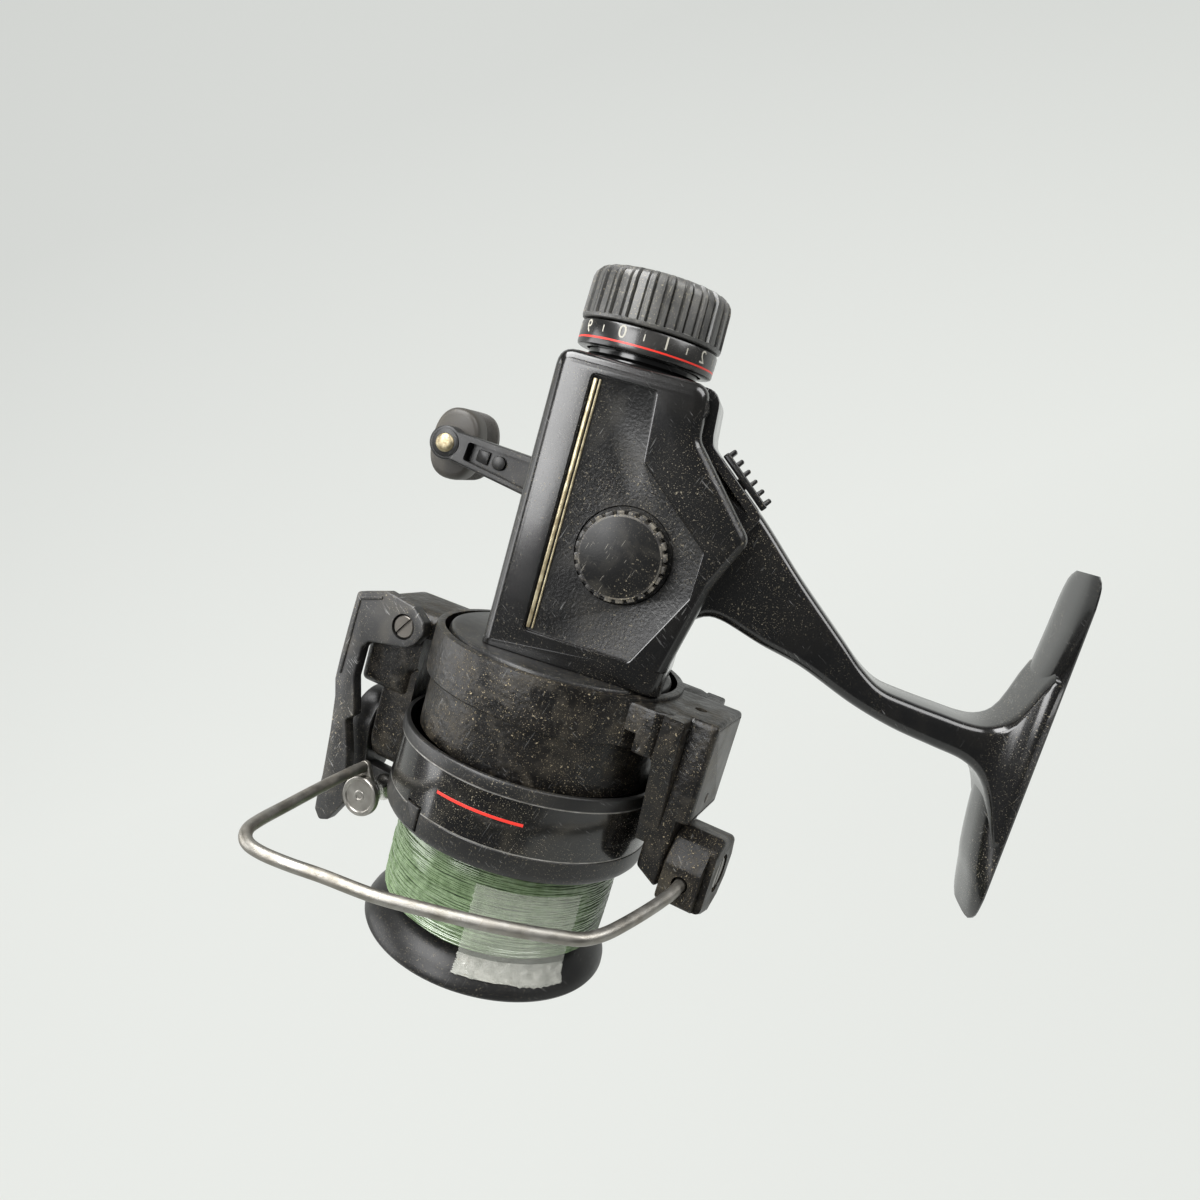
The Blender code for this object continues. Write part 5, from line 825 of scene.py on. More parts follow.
def makeCover():
    h, c = housing, cover
    low, high = -h["half"], -h["split"] - h["seam"]
    shell = prism(pastNose(coverOutline), low, high, "xz", h["coverEdge"], 0.25, 6, h["corner"])
    shell = cut(shell, prism(noseCutter, -20, 20))
    inside = prism(inset(coverOutline, h["wall"]), low + h["wall"], high + 1, "xz", 0, 0, 4, h["innerCorner"])
    shell = cut(shell, inside)
    socket = rodAt(places["drive"], c["floor"], -10.9, c["socketRadius"])
    posts = [rodAt(place, c["floor"], high, coverScrew["post"], 28) for place in coverScrew["places"]]
    shell = added(shell, socket, *posts)
    panel = prism(panelOutline, low - 1, low + c["panelDepth"], "xz", 0, 0.1, 2, 0.9)
    brim = prism(inset(panelOutline, -c["brimWidth"]), low - 1, low + c["brimDepth"], "xz", 0, 0.22, 2, 1.1)
    shell = cut(cut(shell, panel), brim)
    radius, floor = c["pocketRadius"], low + c["pocketDepth"]
    pocket = turned([(low - 1, 0), (low - 1, radius), (floor - 0.2, radius), (floor, radius - 0.2),
                     (floor, 0)], "y")
    holes = [rodAt(places["drive"], *c["bushSeat"]), rodAt(places["drive"], *c["shaftHole"]),
             rod(*c["chamberHole"]), rod(*c["noseHole"]), rodAt(places["oscillator"], *c["axleHole"], 24)]
    holes += [rodAt(place, *c["screwHole"], coverScrew["hole"], 20) for place in coverScrew["places"]]
    shell = cut(shell, shifted(pocket, places["drive"]), *holes)

    shallow, deep = c["greyLevels"]

    def paint(p, n):
        onRear = p.x > c["greyRear"] and -5.2 < p.z < 15.6 + c["greySlope"] * (p.x + 27.4)
        return 1 if n.y < -0.5 and low + shallow < p.y < low + deep and (onRear or p.x > c["greyFrom"]) else 0

    finishPiece("sideCover", shell, axisFrame, "housing", ["glossBlack", "panelGrey"],
                ["side_cover"], 32, paint)
    ribs = []
    x0, x1 = c["ribEnds"]
    for z0, z1 in c["ribLevels"]:
        outline = smoothCorners([(x0, z0), (x1, z0), (x1, z1), (x0, z1)], 0.15)
        ribs.append(prism(outline, low + 0.3, low + 1, "xz", 0.15, 0, 2))
    finishPiece("goldRibs", joined(*ribs), axisFrame, "housing", "goldPaint")


cap = dict(disc=6.95, radius=7.5, face=17.7, floor=13.9, notches=24, toothHalf=0.62, wornFrom=6.3,
           screwHole=(-15.5, -13, 2.2))


def makeCap():
    c = cap
    low, floor = -c["face"], -c["floor"]
    disc = turned([(low, 0), (low, 6.6), (low + 0.12, 6.9), (low + 0.5, c["disc"]), (floor, c["disc"]),
                   (floor, 0)], "y", 96)
    disc = cut(disc, rod(*c["screwHole"], "y", 32))
    tooth = block((6.6, c["radius"]), (low + 0.35, floor), (-c["toothHalf"], c["toothHalf"]), 0.12)
    turnY = Matrix.Rotation(math.radians(90), 4, "Z")       # the ring of copies turns about x
    bmesh.ops.transform(tooth, matrix=turnY.inverted(), verts=tooth.verts[:])
    teeth = grown("ring", tooth, {"Count": c["notches"], "Finish": mats["capBlack"]})
    bmesh.ops.transform(teeth, matrix=turnY, verts=teeth.verts[:])
    finishPiece("handleCap", joined(disc, teeth), driveFrame, "handle", ["capBlack", "capRim"],
                ["handle_cap"], 32, lambda p, n: 1 if math.hypot(p.x, p.z) > c["wornFrom"] else 0)


def makeSwitch():
    s = switch
    plate = prism(smoothCorners(slopeBox(*s["base"]), 0.3, 3), -s["half"], s["half"], "xz", 0.3, 0.3, 3)
    post = prism(slopeBox(*s["post"]), -s["postHalf"], s["postHalf"])
    shape = [slopePoint(u, v) for u, v in
             ((-5.6, 0.9), (-4.75, 0.9), (-4.85, 2.5), (-5.05, 2.7), (-5.35, 2.7), (-5.55, 2.5))]
    rib = prism(shape, -s["ribHalf"], s["ribHalf"], "xz", 0.2, 0.2, 2)
    step = Vector(slopePoint(s["ribPitch"], 0)) - Vector(slopePoint(0, 0))
    ribs = grown("row", rib, {"Count": s["ribs"], "Step": (step.x, 0, step.y), "Finish": mats["satinBlack"]})
    finishPiece("antiReverseSwitch", joined(plate, post, ribs), axisFrame, "switch",
                "satinBlack", ["anti_reverse_switch"])


# Rear drag knob and its dial

knob = dict(ribs=24, steps=288, valley=0.75, shoulder=0.30, bore=(-55.7, -47, 10.3),
            plunger=(-56.2, -44.0, 7.6, 3.1))
knobProfile = [(-48.3, 12.1, 0), (-48.45, 12.35, 0), (-48.9, 12.5, 0.1), (-49.1, 12.5, 1), (-55.3, 12.3, 1),
               (-56.2, 12.05, 1), (-56.9, 11.5, 1), (-57.3, 10.8, 0.9), (-57.48, 9.9, 0.4), (-57.5, 9.2, 0.0),
               (-57.5, 4.0, 0.0), (-57.3, 3.6, 0.0)]
dial = dict(front=-43.8, rear=-48.0, radius=12.15, inner=10.3, redAt=-45.0, redHalf=0.1, numeralHeight=2.1,
            numeralAt=-46.55, firstAngle=194, tickAngle=86, digits=10)


def makeDragKnob():
    k = knob
    rings = []
    for along, radius, depth in knobProfile:
        ring = []
        for i in range(k["steps"]):
            phase = (i / k["steps"] * k["ribs"]) % 1
            drop = 0.0 if phase < 0.18 else k["valley"] if phase < 0.35 or phase > 0.9 else k["shoulder"]
            ring.append(around("x", along, radius - depth * drop, 2 * math.pi * i / k["steps"]))
        rings.append(ring)
    rings.append([Vector((knobProfile[-1][0], 0, 0))])
    shell = cut(loft(rings), rod(*k["bore"], "x", 72))

    # The rib crests and flats take the lighter finish, real wear together with a painted sheen; the grooves keep
    # the darker finish as painted shade
    def worn(p, n):
        return 1 if -56.5 < p.x < -49.3 and math.hypot(p.y, p.z) > 12.0 and n.x > -0.5 else 0

    finishPiece("dragKnob", joined(shell, pipe(*k["plunger"])), axisFrame, "drag_adjuster",
                ["knobGrey", "knobWornAndSheen"], ["drag_knob"], 28, worn)
    d = dial
    front, rear, outer, inner = d["front"], d["rear"], d["radius"], d["inner"]
    ring = turned([(front, inner), (front, outer - 0.45), (front - 0.2, outer - 0.1), (front - 0.5, outer),
                   (d["redAt"] + 0.15, outer), (d["redAt"] - 0.15, outer), (rear + 0.4, outer),
                   (rear + 0.1, outer - 0.15), (rear, outer - 0.35), (rear, inner)], "x", 128, True)
    finishPiece("dragScale", ring, axisFrame, "drag_adjuster", ["scaleBlack", "redPaint"],
                ["drag_scale"], 32, lambda p, n: 1 if abs(p.x - d["redAt"]) < d["redHalf"] else 0)
    makeNumerals()


def makeNumerals():
    d = dial
    parts = []
    for digit in range(d["digits"]):
        text = bpy.data.curves.new("digit", "FONT")
        text.body = str(digit)
        text.size = d["numeralHeight"] * 1.45
        text.align_x, text.align_y = "CENTER", "CENTER"
        text.resolution_u = 4
        item = bpy.data.objects.new("digit", text)
        scene.collection.objects.link(item)
        mesh = evaluatedMesh(item)
        bm = bmesh.new()
        bm.from_mesh(mesh)
        bpy.data.meshes.remove(mesh)
        dropObject(item)
        centre = math.radians(d["firstAngle"] - 360 / d["digits"] * digit)
        bmesh.ops.triangulate(bm, faces=bm.faces[:])
        shell = bmesh.ops.extrude_face_region(bm, geom=bm.faces[:])
        for vert in [g for g in shell["geom"] if isinstance(g, bmesh.types.BMVert)]:
            vert.co.z = 0.05
        for vert in bm.verts:
            angle = centre + vert.co.x / d["radius"]
            vert.co = around("x", d["numeralAt"] - vert.co.y, d["radius"] - 0.02 + vert.co.z, angle)
        bmesh.ops.recalc_face_normals(bm, faces=bm.faces[:])
        parts.append(bm)
    tick = prism([(-47.1, -0.1), (-46.0, -0.1), (-46.0, 0.1), (-47.1, 0.1)], d["radius"] - 0.05,
                 d["radius"] + 0.03, "xy")
    ticks = grown("ring", spun(tick, d["tickAngle"], "X"), {"Count": d["digits"], "Finish": mats["numeralPaint"]})
    finishPiece("dialNumerals", joined(ticks, *parts), axisFrame, "drag_adjuster", "numeralPaint")


# Handle

# Along the arm, 0 is the drive axis and 1 the rivet
arm = dict(near=54.6, depth=5.4, rootHalf=6.7, tipHalf=3.5, rim=1.2, recess=3.4, recessShare=(0.2, 0.905), hub=7.7,
           tip=4.2, collar=3.5, rivetHole=1.8, shaftHole=2.2, studAt=0.765, stud=1.75, studRise=0.7,
           pad=((0.865, 1.5), (0.865, -1.5), (0.812, -1.7), (0.812, 1.7)))
hubAt = (places["drive"][0], places["drive"][2])
armTip = (-17.95, -50.4)
tipPlace = (armTip[0], 0, armTip[1])


def armPoint(share, side):
    root, tip = Vector(hubAt), Vector(armTip)
    along = (tip - root).normalized()
    point = root.lerp(tip, share) + Vector((-along.y, along.x)) * side
    return point.x, point.y


def armShape(root, rootHalf, tip, tipHalf):
    return [armPoint(share, side) for share, side in
            ((root, rootHalf), (tip, tipHalf), (tip, -tipHalf), (root, -rootHalf))]


def makeHandle():
    a = arm
    near, far = a["near"], a["near"] + a["depth"]
    beam = prism(armShape(0, a["rootHalf"], 1, a["tipHalf"]), near, far, "xz", 0.4, 0.9, 3)
    hub = prism(circle(a["hub"], 72, hubAt), near - 1.3, far, "xz", 0.6, 0.9, 4)
    tip = prism(circle(a["tip"], 56, armTip), near, far, "xz", 0.4, 0.7, 4)
    collar = prism(circle(a["collar"], 48, armTip), near - 0.25, near + 1, "xz", 0.2, 0, 2)
    shank = turned([(15.6, 0), (15.6, 4.3), (15.9, 4.6), (near - 6, 4.6), (near - 1.8, 5.6),
                    (near - 0.6, 6.8), (near, 6.8), (near, 0)], "y", 64)
    body = added(beam, hub, tip, collar, shifted(shank, places["drive"]))
    recessRoot, recessTip = a["recessShare"]
    rootSide = a["rootHalf"] + (a["tipHalf"] - a["rootHalf"]) * recessRoot - a["rim"]
    recess = armShape(recessRoot, rootSide, recessTip, a["tipHalf"] - a["rim"])
    floor = near + a["recess"]
    body = cut(body, prism(smoothCorners(recess, 0.7), near - 1, floor, "xz"))
    pad = smoothCorners([armPoint(share, side) for share, side in a["pad"]], 0.25, 2)
    stud = circle(a["stud"], 40, armPoint(a["studAt"], 0))
    body = added(body, prism(pad, floor - 0.8, floor + a["studRise"], "xz", 0.15, 0, 2),
                 prism(stud, floor - 1.1, floor + a["studRise"], "xz", 0.15, 0, 2))
    body = cut(body, rodAt(armTip, near - 1, far + 1, a["rivetHole"], 32),
               rodAt(places["drive"], 14.6, near + 1.3, a["shaftHole"], 32))
    finishPiece("handleArm", body, axisFrame, "handle", "satinBlack", ["handle_arm"])
    head = near - 1.15
    rivet = turned([(head, 0), (head, 1.15), (head + 0.1, 1.7), (head + 0.35, 2.15), (head + 0.65, 2.35),
                    (head + 0.9, 2.35), (head + 0.9, 1.5), (head + 23.7, 1.5), (head + 23.7, 0)], "y", 40)
    finishPiece("knobRivet", shifted(rivet, tipPlace), axisFrame, "handle", "brass",
                ["knob_rivet"], 40)


# Ring stations of the knob: how far along, share of its full size, depth of a groove
grip = dict(start=60.8, longHalf=9.2, thickHalf=6.3, sides=96, firstGroove=7.0, grooves=9, groovePitch=1.1,
            grooveDepth=0.62, bore=1.8, boreDepth=16.9)
gripStart = [(0.0, 0.80), (0.12, 0.86), (0.45, 0.925), (1.0, 0.965), (2.0, 0.99), (4.0, 1.0), (6.0, 1.0)]
gripEnd = [(17.5, 1.0), (19.0, 0.985), (20.0, 0.94), (20.6, 0.87), (20.9, 0.78), (21.0, 0.66)]
grooveShape = [(0.0, 0), (0.12, 0.5), (0.3, 1), (0.5, 1), (0.68, 0.5), (0.8, 0)]


def makeGrip():
    g = grip
    stations = [(along, size, 0) for along, size in gripStart]
    for groove in range(g["grooves"]):
        for offset, depth in grooveShape:
            stations.append((g["firstGroove"] + (groove + offset) * g["groovePitch"], 1.0, depth))
    stations += [(along, size, 0) for along, size in gripEnd]
    rings = []
    for along, size, depth in stations:
        ring = []
        for i in range(g["sides"]):
            a = 2 * math.pi * i / g["sides"]
            c, s = math.cos(a), math.sin(a)
            x = (g["longHalf"] * size - depth * g["grooveDepth"]) * math.copysign(abs(c) ** 0.86, c)
            z = (g["thickHalf"] * size - depth * g["grooveDepth"]) * math.copysign(abs(s) ** 0.80, s)
            ring.append(Vector((x, g["start"] + along, z)))
        rings.append(ring)
    body = cut(loft(rings), rod(g["start"] - 1, g["start"] + g["boreDepth"], g["bore"], "y", 32))
    finishPiece("handleKnob", shifted(body, tipPlace), axisFrame, "grip", "gripRubber",
                ["handle_knob"], 40)


# Front plate and rotor

plateHole = dict(at=(0, 0, 15), ends=(9.1, 12.1), radius=1.3)


def makePlate():
    h = plateHole
    plate = turned([(4.7, 7.4), (4.7, 9.6), (9.3, 9.6), (9.3, 20.2), (9.6, 20.8), (10.1, 21.1), (10.8, 21.1),
                    (11.1, 20.8), (11.1, 8.7), (5.55, 8.7), (5.55, 7.4)], "x", 128, True)
    plate = cut(plate, rodAt(h["at"], *h["ends"], h["radius"], 24, "x"))
    finishPiece("bearingPlate", plate, axisFrame, "housing", "satinBlack", ["bearing_plate"])


# The cup is a turned ring; the two arms stand on it, above (z+) and below (z-) the axis
rotor = dict(radius=23.5, neck=22.2, wall=20.8, hub=6.6, bore=3.6, armHalf=8.4, pivotHole=2.1, triggerHole=1.6,
             cavity=((12.0, 26.8), (-6.8, 6.8), (28.4, 35)), coverSeat=((11.2, 27.6), (-7.5, 7.5), (32.9, 35)),
             cover=((11.35, 27.45), (-7.35, 7.35), (33.0, 33.95)), skirt=((12.3, 26.5), (-6.5, 6.5), (32.5, 33.3)),
             coverScrew=(25.0, -0.7, 0), coverScrewHole=0.9, dimple=(0, -1.5, 28.6), dimpleRadius=1.1)
upperArm = [(10.4, 21.5), (18.5, 21.5), (20.7, 25.1), (22.9, 27.3), (38.5, 27.3), (40.7, 31.2), (40.1, 31.8),
            (28.4, 31.8), (28.4, 33.9), (10.4, 33.9)]
lowerArm = [(10.4, -21.5), (20.7, -21.5), (22.9, -25.8), (28.0, -25.8), (28.0, -36.7), (10.4, -36.7)]
armBrace = [(7.4, 17.8), (12.9, 17.8), (12.9, 24.4), (10.9, 26.9), (7.4, 26.9)]
armFlank = [(10.5, 5.0), (10.5, 12.8), (18.3, 12.8), (21.0, 11.3), (34.0, 7.9), (34.0, 5.0)]


def makeCup():
    outer, neck, wall, hub, bore = (rotor[name] for name in ("radius", "neck", "wall", "hub", "bore"))
    rear = [(9.7, 22.1), (9.7, 23.1), (9.85, outer - 0.1), (10.2, outer), (18.1, outer), (18.4, 23.3), (18.5, 22.9)]
    front = [(18.6, 22.3), (19.0, neck), (28.35, neck), (28.6, 21.95), (28.6, 20.95), (28.45, wall), (25.6, wall)]
    middle = [(25.6, 9.2), (24.4, hub), (24.4, bore), (14.4, bore), (14.4, hub), (23.2, 9.0)]
    return turned(rear + front + middle + [(23.2, wall), (17.1, wall), (17.1, 22.1)], "x", 144, True)


def makeRotor():
    r = rotor
    half, outer, neck, wall = r["armHalf"], r["radius"], r["neck"], r["wall"]
    arms = [prism(upperArm, -half, half, "xz", 0.9, 0.9, 4, 1.0),
            prism(lowerArm, -half, half, "xz", 2.6, 2.6, 6, 1.6)]
    frontOutline = hull(circle(6.8, 64, places["pivot"][:2]) + [(17, -6.8), (17, 6.8)])
    arms.append(prism(frontOutline, -31.8, -23.6, "xy", 0.8, 0, 4))
    for side in (-1, 1):
        arms.append(prism([(side * t, level) for t, level in armBrace], 10.4, 18.5, "yz", 0.5, 0.7, 3, 0.8))
        arms.append(prism([(x, side * t) for x, t in armFlank], 25.7, 29.3, "xy", 0, 0.6, 3))
    body = added(makeCup(), *arms)
    body = cut(body, pipe(15.1, 45, 25.5, outer + 0.12, "x", 144), pipe(18.8, 45, 25.0, neck, "x", 144),
               rod(8.7, 17.1, 22.1, "x", 144), pipe(15.7, 23.2, wall, 9.0, "x", 144), block(*r["cavity"]),
               block(*r["coverSeat"], 0.3), rodAt(r["dimple"], 9, 11.0, r["dimpleRadius"], 28, "x"),
               rodAt(places["pivot"], 28.15, 33, r["pivotHole"], 32, "z"),
               rodAt(places["pivot"], -33, -27.5, r["pivotHole"], 32, "z"),
               rodAt(places["trigger"], -9.5, -2.1, r["triggerHole"], 24))
    finishPiece("rotorBody", body, rotorFrame, "rotor_group", "rotorBlack", ["rotor"])
    plate = cut(block(*r["cover"], 0.25), rodAt(r["coverScrew"], 33.3, 35, r["coverScrewHole"], 24, "z"))
    finishPiece("armCover", joined(plate, block(*r["skirt"])), rotorFrame, "rotor_group", "coverGrey",
                ["arm_cover"])
    stub = turned([(33.2, 0), (33.2, 0.75), (34.0, 0.7), (34.1, 0.5), (34.1, 0)], "z", 24)
    finishPiece("armCoverScrew", shifted(stub, r["coverScrew"]), rotorFrame, "rotor_group",
                "darkSteel")


pivotScrew = dict(shank=1.8, head=3.1, edge=0.4, slotHalf=0.35, slotDepth=0.6)
triggerHead = [(-11.3, 0), (-11.3, 1.95), (-11.15, 2.15), (-9.95, 2.15), (-9.95, 1.3), (-2.4, 1.3), (-2.4, 0)]


def makePivotScrews():
    s = pivotScrew
    for name, node, below, low, seat, top in (("pivotScrewBlock", "pivot_screw_block", False, 29.0, 38.5, 39.8),
                                              ("pivotScrewArm", "pivot_screw_arm", True, 27.8, 37.4, 38.7)):
        screw = turned([(low, 0), (low, s["shank"]), (seat, s["shank"]), (seat, s["head"]),
                        (top - s["edge"], s["head"]), (top, s["head"] - s["edge"]), (top, 0)], "z", 48)
        screw = cut(screw, block((-4, 4), (-s["slotHalf"], s["slotHalf"]), (top - s["slotDepth"], top + 1)))
        if below:
            spun(screw, 180, "X")
        finishPiece(name, shifted(screw, places["pivot"]), rotorFrame, "rotor_group", "darkSteel", [node])
    head = turned(triggerHead, "y", 48)
    head = cut(head, spun(block((-3, 3), (-12.5, -10.85), (-0.28, 0.28)), 35, "Y"))
    finishPiece("triggerScrew", shifted(head, places["trigger"]), rotorFrame, "rotor_group",
                "darkSteel", ["trigger_screw"])


# Bail, roller and trigger

wirePath = [(5.4, -11.2, -28.2), (5.5, -14.2, -28.2), (6.1, -23, -27.8), (6.75, -33, -27.0), (7.0, -40, -26.2),
            (7.15, -43.6, -25.2), (7.3, -46.0, -22.8), (7.35, -46.6, -19.4), (7.3, -45.9, -14.5),
            (7.1, -44.7, -8.9), (6.8, -43.3, -0.4), (6.4, -40.9, 7.1), (5.9, -38.3, 14.5), (5.4, -35.4, 21.2),
            (5.0, -33.2, 25.6), (4.7, -31.4, 28.6), (4.2, -28.4, 30.7), (3.5, -24.2, 32.3), (2.4, -17.7, 34.2),
            (1.5, -12.6, 35.4), (1.0, -10.4, 35.7), (0.8, -7.6, 35.7)]


# Levels are heights along the bail's axis, which runs through both pivots
bail = dict(bore=2.1, blockLow=32.1, blockHigh=40.0, headSeat=38.0, headRadius=3.5, wireHole=1.45, plate=6.9,
            plateLevels=(-37.1, -32.1), lug=2.75, lugLevels=(-4.6, -1.4), wire=1.05, eye=2.6,
            eyeLevels=(-11.6, -10.5), screwHole=1.5)
blockOutline = [(-7.2, -3.0), (-5.4, 5.6), (-1.8, 7.6), (3.0, 7.2), (6.4, 4.5), (7.8, 0.0), (6.6, -4.5),
                (4.6, -9.5), (-2.2, -9.5), (-6.0, -6.4)]
rollerAt = (places["roller"][0], places["roller"][2])
rollerScrew = [(-12.75, 0), (-12.75, 0.5), (-12.9, 0.7), (-12.9, 1.0), (-12.8, 1.15), (-12.8, 2.9), (-13.0, 3.1),
               (-13.0, 3.6), (-12.85, 3.82), (-12.6, 3.9), (-11.9, 3.9), (-11.9, 1.2), (-1.4, 1.2), (-1.4, 0)]
rollerProfile = [(-10.3, 1.5), (-10.3, 2.45), (-10.15, 2.6), (-9.5, 2.6), (-9.1, 2.4), (-8.4, 2.15), (-7.6, 2.08),
                 (-6.8, 2.15), (-6.1, 2.4), (-5.7, 2.6), (-5.05, 2.6), (-4.9, 2.45), (-4.9, 1.5)]


def makeBail():
    b = bail
    end = wirePath[-1]
    body = prism(blockOutline, b["blockLow"], b["blockHigh"], "xy", 0.4, 1.0, 4, 1.3)
    body = cut(body, rod(31, 42, b["bore"], "z", 40), rod(b["headSeat"], 42, b["headRadius"], "z", 64),
               rodAt((end[0], 0, end[2]), -11, -6.4, b["wireHole"]), block((-9, 9), (-10, -6.9), (38.7, 42)))
    finishPiece("bailBlock", body, bailFrame, "bail", "blockBlack", ["bail_block"])
    plate = hull(circle(b["plate"], 64) + [(13.8, -4.6), (13.8, -1.4)])
    lug = hull(circle(b["lug"], 48, rollerAt) + [(7.6, -36.2), (13.8, -36.2)])
    body = added(prism(plate, *b["plateLevels"], "xy", 0.6, 0.4, 4),
                 prism(lug, *b["lugLevels"], "xz", 0.25, 0.25, 2))
    body = cut(body, rod(-38, -31, b["bore"], "z", 40), rodAt(rollerAt, -5.6, -0.4, b["screwHole"], 32))
    finishPiece("bailArm", body, bailFrame, "bail", "satinBlack", ["bail_arm"])
    wire = tube(splineThrough([Vector(p) for p in wirePath], 9), b["wire"], 28)
    eye = hull(circle(b["eye"], 56, rollerAt) + circle(1.15, 32, (wirePath[0][0], wirePath[0][2])))
    eye = cut(prism(eye, *b["eyeLevels"], "xz", 0.25, 0.25, 3), rodAt(rollerAt, -13, -9, b["screwHole"], 32))
    finishPiece("bailWire", joined(eye, wire), bailFrame, "bail", "wireSteel", ["bail_wire"], 40)
    screw = shifted(turned(rollerScrew, "y", 72), places["roller"])
    finishPiece("rollerScrew", screw, bailFrame, "bail", "steel", ["roller_screw"])
    roller = shifted(turned(rollerProfile, "y", 64, True), places["roller"])
    finishPiece("lineRoller", roller, bailFrame, "roller", "brightSteel", ["line_roller"])


trigger = dict(levels=(-11.5, -8.9), edge=0.35, headSeat=2.45, hole=1.6, ridgeLevels=(-11.75, -11.2))
triggerOutline = [(8.5, -32.5), (10.6, -38.9), (17.0, -39.2), (23.8, -39.4), (28.4, -39.4), (31.7, -38.5),
                  (38.6, -37.7), (47.6, -37.1), (52.0, -37.2), (55.0, -37.0), (56.7, -35.5), (55.9, -33.5),
                  (51.1, -30.8), (41.6, -32.7), (35.2, -34.9), (33.8, -33.2), (30.0, -34.3), (26.6, -35.3),
                  (20.4, -35.1), (19.0, -34.0), (17.3, -25.7), (16.2, -24.1), (13.9, -22.7), (11.6, -23.1),
                  (9.4, -26.0)]
ridgeOutline = [(9.6, -33.0), (11.2, -38.2), (27.0, -38.7), (27.0, -38.2), (11.9, -37.6), (10.3, -33.0)]


def makeTrigger():
    t = trigger
    plate = prism(smoothCorners(triggerOutline, 0.9, 4), *t["levels"], "xz", t["edge"], t["edge"], 3)
    plate = cut(plate, rodAt(places["trigger"], -12.5, -9.65, t["headSeat"], 48),
                rodAt(places["trigger"], -12, -8, t["hole"], 32))
    ridge = prism(smoothCorners(ridgeOutline, 0.2, 2), *t["ridgeLevels"], "xz", 0.15, 0, 2)
    finishPiece("bailTrigger", joined(plate, ridge), rotorFrame, "trigger", "triggerGrey",
                ["bail_trigger"])


# Spool with its line, tape and clip

spoolProfile = [(27.6, 24.05), (27.6, 24.7), (27.75, 24.92), (28.1, 25.0), (29.7, 25.0), (29.85, 24.9),
                (30.05, 24.9), (30.1, 24.93), (39.0, 24.93), (39.05, 24.9), (39.25, 24.9), (39.4, 25.0),
                (42.0, 25.0), (42.9, 24.85), (43.5, 24.4), (43.8, 23.6), (43.8, 17.2), (44.1, 16.8), (60.4, 16.8),
                (60.9, 17.2), (62.1, 19.9), (63.4, 21.9), (64.9, 23.1), (65.9, 23.55), (66.5, 23.6), (66.9, 23.4),
                (67.1, 22.9), (67.05, 22.3), (66.6, 20.8), (65.4, 19.4), (64.5, 18.9), (64.5, 6.2), (64.3, 5.6),
                (64.4, 4.9), (60.9, 4.7), (60.9, 2.4), (50.0, 2.4), (50.0, 6.4), (61.3, 6.4), (61.3, 15.2),
                (41.2, 15.2), (41.2, 24.05)]
spool = dict(skirt=24.85, lipFrom=60.5, core=17, grooves=((29.9, 30.08), (39.02, 39.3)), band=(30.08, 39.02),
             stripeSteps=40, stripeStart=167.7, stripeTurn=37.0)
stripeSection = [(33.62, 24.9), (33.66, 24.965), (34.14, 24.965), (34.18, 24.9)]
clip = dict(along=(38.4, 42.4), half=1.7, low=24.48, high=25.0, turn=125, rise=0.28, gap=0.3, edge=0.2)


def clipBlock(margin, rise, edge=0.0):
    c = clip
    reach = c["half"] + margin
    shape = block((c["along"][0] - margin, c["along"][1] + margin), (-reach, reach),
                  (c["low"] - margin, c["high"] + rise), edge)
    return spun(shape, c["turn"], "X")


def makeSpool():
    s = spool
    body = cut(turned(spoolProfile, "x", 160, True), clipBlock(clip["gap"], 1.0))

    def paint(p, n):
        radius = math.hypot(p.y, p.z)
        if radius > s["skirt"] and n.x ** 2 < 0.6:
            if any(low < p.x < high for low, high in s["grooves"]):
                return 2
            if s["band"][0] < p.x < s["band"][1]:
                return 1
        return 3 if p.x > s["lipFrom"] and radius > s["core"] else 0

    finishPiece("spoolBody", body, axisFrame, "spool_group",
                ["satinBlack", "bandBlack", "silverLine", "lipBlack"], ["spool"], 30, paint)
    stripe = []
    for step in range(s["stripeSteps"] + 1):
        a = math.radians(s["stripeStart"] + s["stripeTurn"] * step / s["stripeSteps"])
        stripe.append([around("x", x, radius, a) for x, radius in stripeSection])
    finishPiece("redStripe", loft(stripe), axisFrame, "spool_group", "redPaint")
    finishPiece("lineClip", clipBlock(0.0, clip["rise"], clip["edge"]), axisFrame, "spool_group",
                "satinBlack", ["line_clip"])
    button = turned([(63.2, 0), (63.2, 4.2), (65.3, 4.2), (65.75, 4.05), (66.0, 3.7), (66.1, 3.2),
                     (66.1, 0)], "x", 56)
    finishPiece("spoolButton", button, axisFrame, "button", "triggerGrey", ["spool_button"])


winding = dict(turns=112.0, pointsPerTurn=46, passes=27.0, rear=44.7, length=15.2, radius=20.85, growth=0.42,
               wander=1.3, lineRadius=0.15)


def makeLine():
    # The core under the winding is coloured darker than the line, as painted shade in the gaps between strands
    core = turned([(44.4, 17.1), (44.4, 20.4), (44.9, 20.75), (52, 20.95), (59.8, 20.75), (60.3, 20.3),
                   (60.3, 17.3)], "x", 128, True)
    finishPiece("lineCore", core, axisFrame, "spool_group", "lineDeep", ["line_core"])
    w = winding
    seed = block((0, 0.1), (0, 0.1), (0, 0.1))
    turns = grown("winding", seed, {
        "Turns": w["turns"], "Points": int(w["turns"] * w["pointsPerTurn"]), "Passes": w["passes"],
        "Rear": w["rear"], "Length": w["length"], "Radius": w["radius"], "Growth": w["growth"],
        "Wander": w["wander"], "Line radius": w["lineRadius"], "Finish": mats["lineGreen"]})
    finishPiece("lineWinding", turns, axisFrame, "spool_group", "lineGreen", ["line_winding"], 60)


tape = dict(start=38.0, end=90.0, columns=44, thickness=0.06, jag=0.1, tooth=0.22, wave=0.5, sway=0.5,
            ripple=0.10, crease=0.22, creaseFrom=62, frostFrom=60.6)
tapeProfile = [(47.5, 21.75), (54.0, 21.85), (60.0, 21.8), (61.6, 21.9), (62.8, 22.25), (63.5, 22.6), (64.0, 22.8)]


